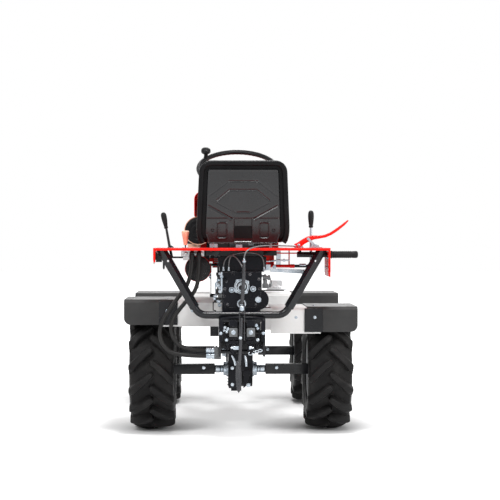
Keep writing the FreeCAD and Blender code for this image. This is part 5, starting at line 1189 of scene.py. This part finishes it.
for word, side, drop in (("left", -1, 95), ("right", 1, 0)):
    form.rings([[(side * x, y, tread_height(y, drop) - low)
                 for x, low in ((inner, 0), (outer, 0), (outer, 4), (inner, 4))]
                for y, inner, outer in ((-240, 143, 245), (-200, 146, 243), (-160, 149, 241),
                                        (-130, 152, 239), (-95, 160, 235), (-60, 168, 232))])
    for row in range(11):
        for column in range(8):
            x, y = 156 + 11 * column, -230 + 16 * row
            share = (y + 240) / 180
            if not 151 + 22 * share < x < 238 - 9 * share:
                continue
            turn = radians(45 if (row + column) % 2 else -45)
            slope = 41 / 70 if y > -130 else 0
            corners = [(x + along * cos(turn) - wide * sin(turn),
                        along * sin(turn) + wide * cos(turn))
                       for along, wide in ((-5, 0), (0, -1.6), (5, 0), (0, 1.6))]
            form.rings([[(side * a, y + b, tread_height(y, drop) + slope * b + lift)
                         for a, b in corners] for lift in (-0.5, 1.4)])
    for y in (-215, -150):
        form.bolt((side * 158, y, tread_height(y, drop)), UP, 9, 3)
    form.finish("foot_plate_" + word, "checker_aluminium",
                ["foot_plates"] if side > 0 else (), round_off=0.4)
tower_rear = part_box("steering_tower")[0].y / MM
for side in (-1, 1):
    for z in (560, 700, 840):
        form.bolt((side * 60, tower_rear, z), AFT, 10, 1, washer=False)
form.finish("tower_bolts", "zinc_plate", round_off=0.4)


# ---- light and floor
def lamp(name, at, aim, across, power):
    data = bpy.data.lights.new(name, "AREA")
    data.energy, data.size = power, across
    lit = bpy.data.objects.new(name, data)
    bpy.context.scene.collection.objects.link(lit)
    lit.location = at
    lit.rotation_euler = (Vector(aim) - Vector(at)).to_track_quat("-Z", "Y").to_euler()


lamp("key", (-2.6, -4.6, 4.4), (0, -0.4, 0.6), 1.2, 130)
lamp("top", (0.2, -1.9, 3.9), (0, -0.5, 0.7), 0.7, 90)
lamp("fill", (3.8, -4.2, 2.4), (0, -0.4, 0.6), 1.5, 80)
lamp("top_front", (0.5, 5.0, 4.2), (0, 0, 0.6), 3.0, 150)

world = bpy.data.worlds.new("studio")
bpy.context.scene.world = world
sky = Shader(world, "World")
mixer = sky.add("MixShader")
for slot, strength in ((1, 0.55), (2, 1.0)):
    pane = sky.add("Background")
    sky.put(pane, Color=(1, 1, 1, 1), Strength=strength)
    sky.link(pane.outputs[0], mixer.inputs[slot])
sky.link(sky.looked_at(), mixer.inputs["Fac"])
sky.link(mixer.outputs[0], sky.out.inputs["Surface"])

bpy.ops.mesh.primitive_plane_add(size=60, location=(0, 0, 0))
floor = bpy.context.object
floor.name = "floor"
floor.data.materials.append(bpy.data.materials.new("floor"))
ground = Shader(floor.data.materials[0])
matt, glow, both = ground.add("BsdfDiffuse"), ground.add("Emission"), ground.add("AddShader")
ground.put(matt, Color=(0.8, 0.8, 0.8, 1))
ground.put(glow, Color=(1, 1, 1, 1))
away = ground.add("VectorMath", operation="LENGTH")
ground.link(ground.stretched((1, 0.8, 1)), away.inputs[0])
mirrored = ground.add("VectorMath", operation="ABSOLUTE")
ground.link(ground.stretched((1, 1, 1)), mirrored.inputs[0])
# shade round the places where the tyres stand, mirrored to all four
contact = ground.add("VectorMath", operation="DISTANCE")
ground.link(mirrored.outputs[0], contact.inputs[0])
contact.inputs[1].default_value = (0.428, AXLE_Y * MM, 0)
strength = ground.math("MULTIPLY", ground.spread(away.outputs["Value"], 0.42, 1, 0.9, 1.9),
                       ground.spread(contact.outputs["Value"], 0, 1, 0.1, 0.42))
ground.link(ground.math("MULTIPLY", ground.looked_at(), strength), glow.inputs["Strength"])
ground.link(matt.outputs[0], both.inputs[0])
ground.link(glow.outputs[0], both.inputs[1])
ground.link(both.outputs[0], ground.out.inputs["Surface"])

for entry in frame["record"]["subparts"]:
    piece = NODES[entry["node"]]
    piece.data.materials.clear()
    piece.data.materials.append(bpy.data.materials[entry["material_slot"]])
for cord in CORDS:
    thin = "cable" in cord.name
    cord.data.materials.append(bpy.data.materials["cable_sheath" if thin else "hose_rubber"])
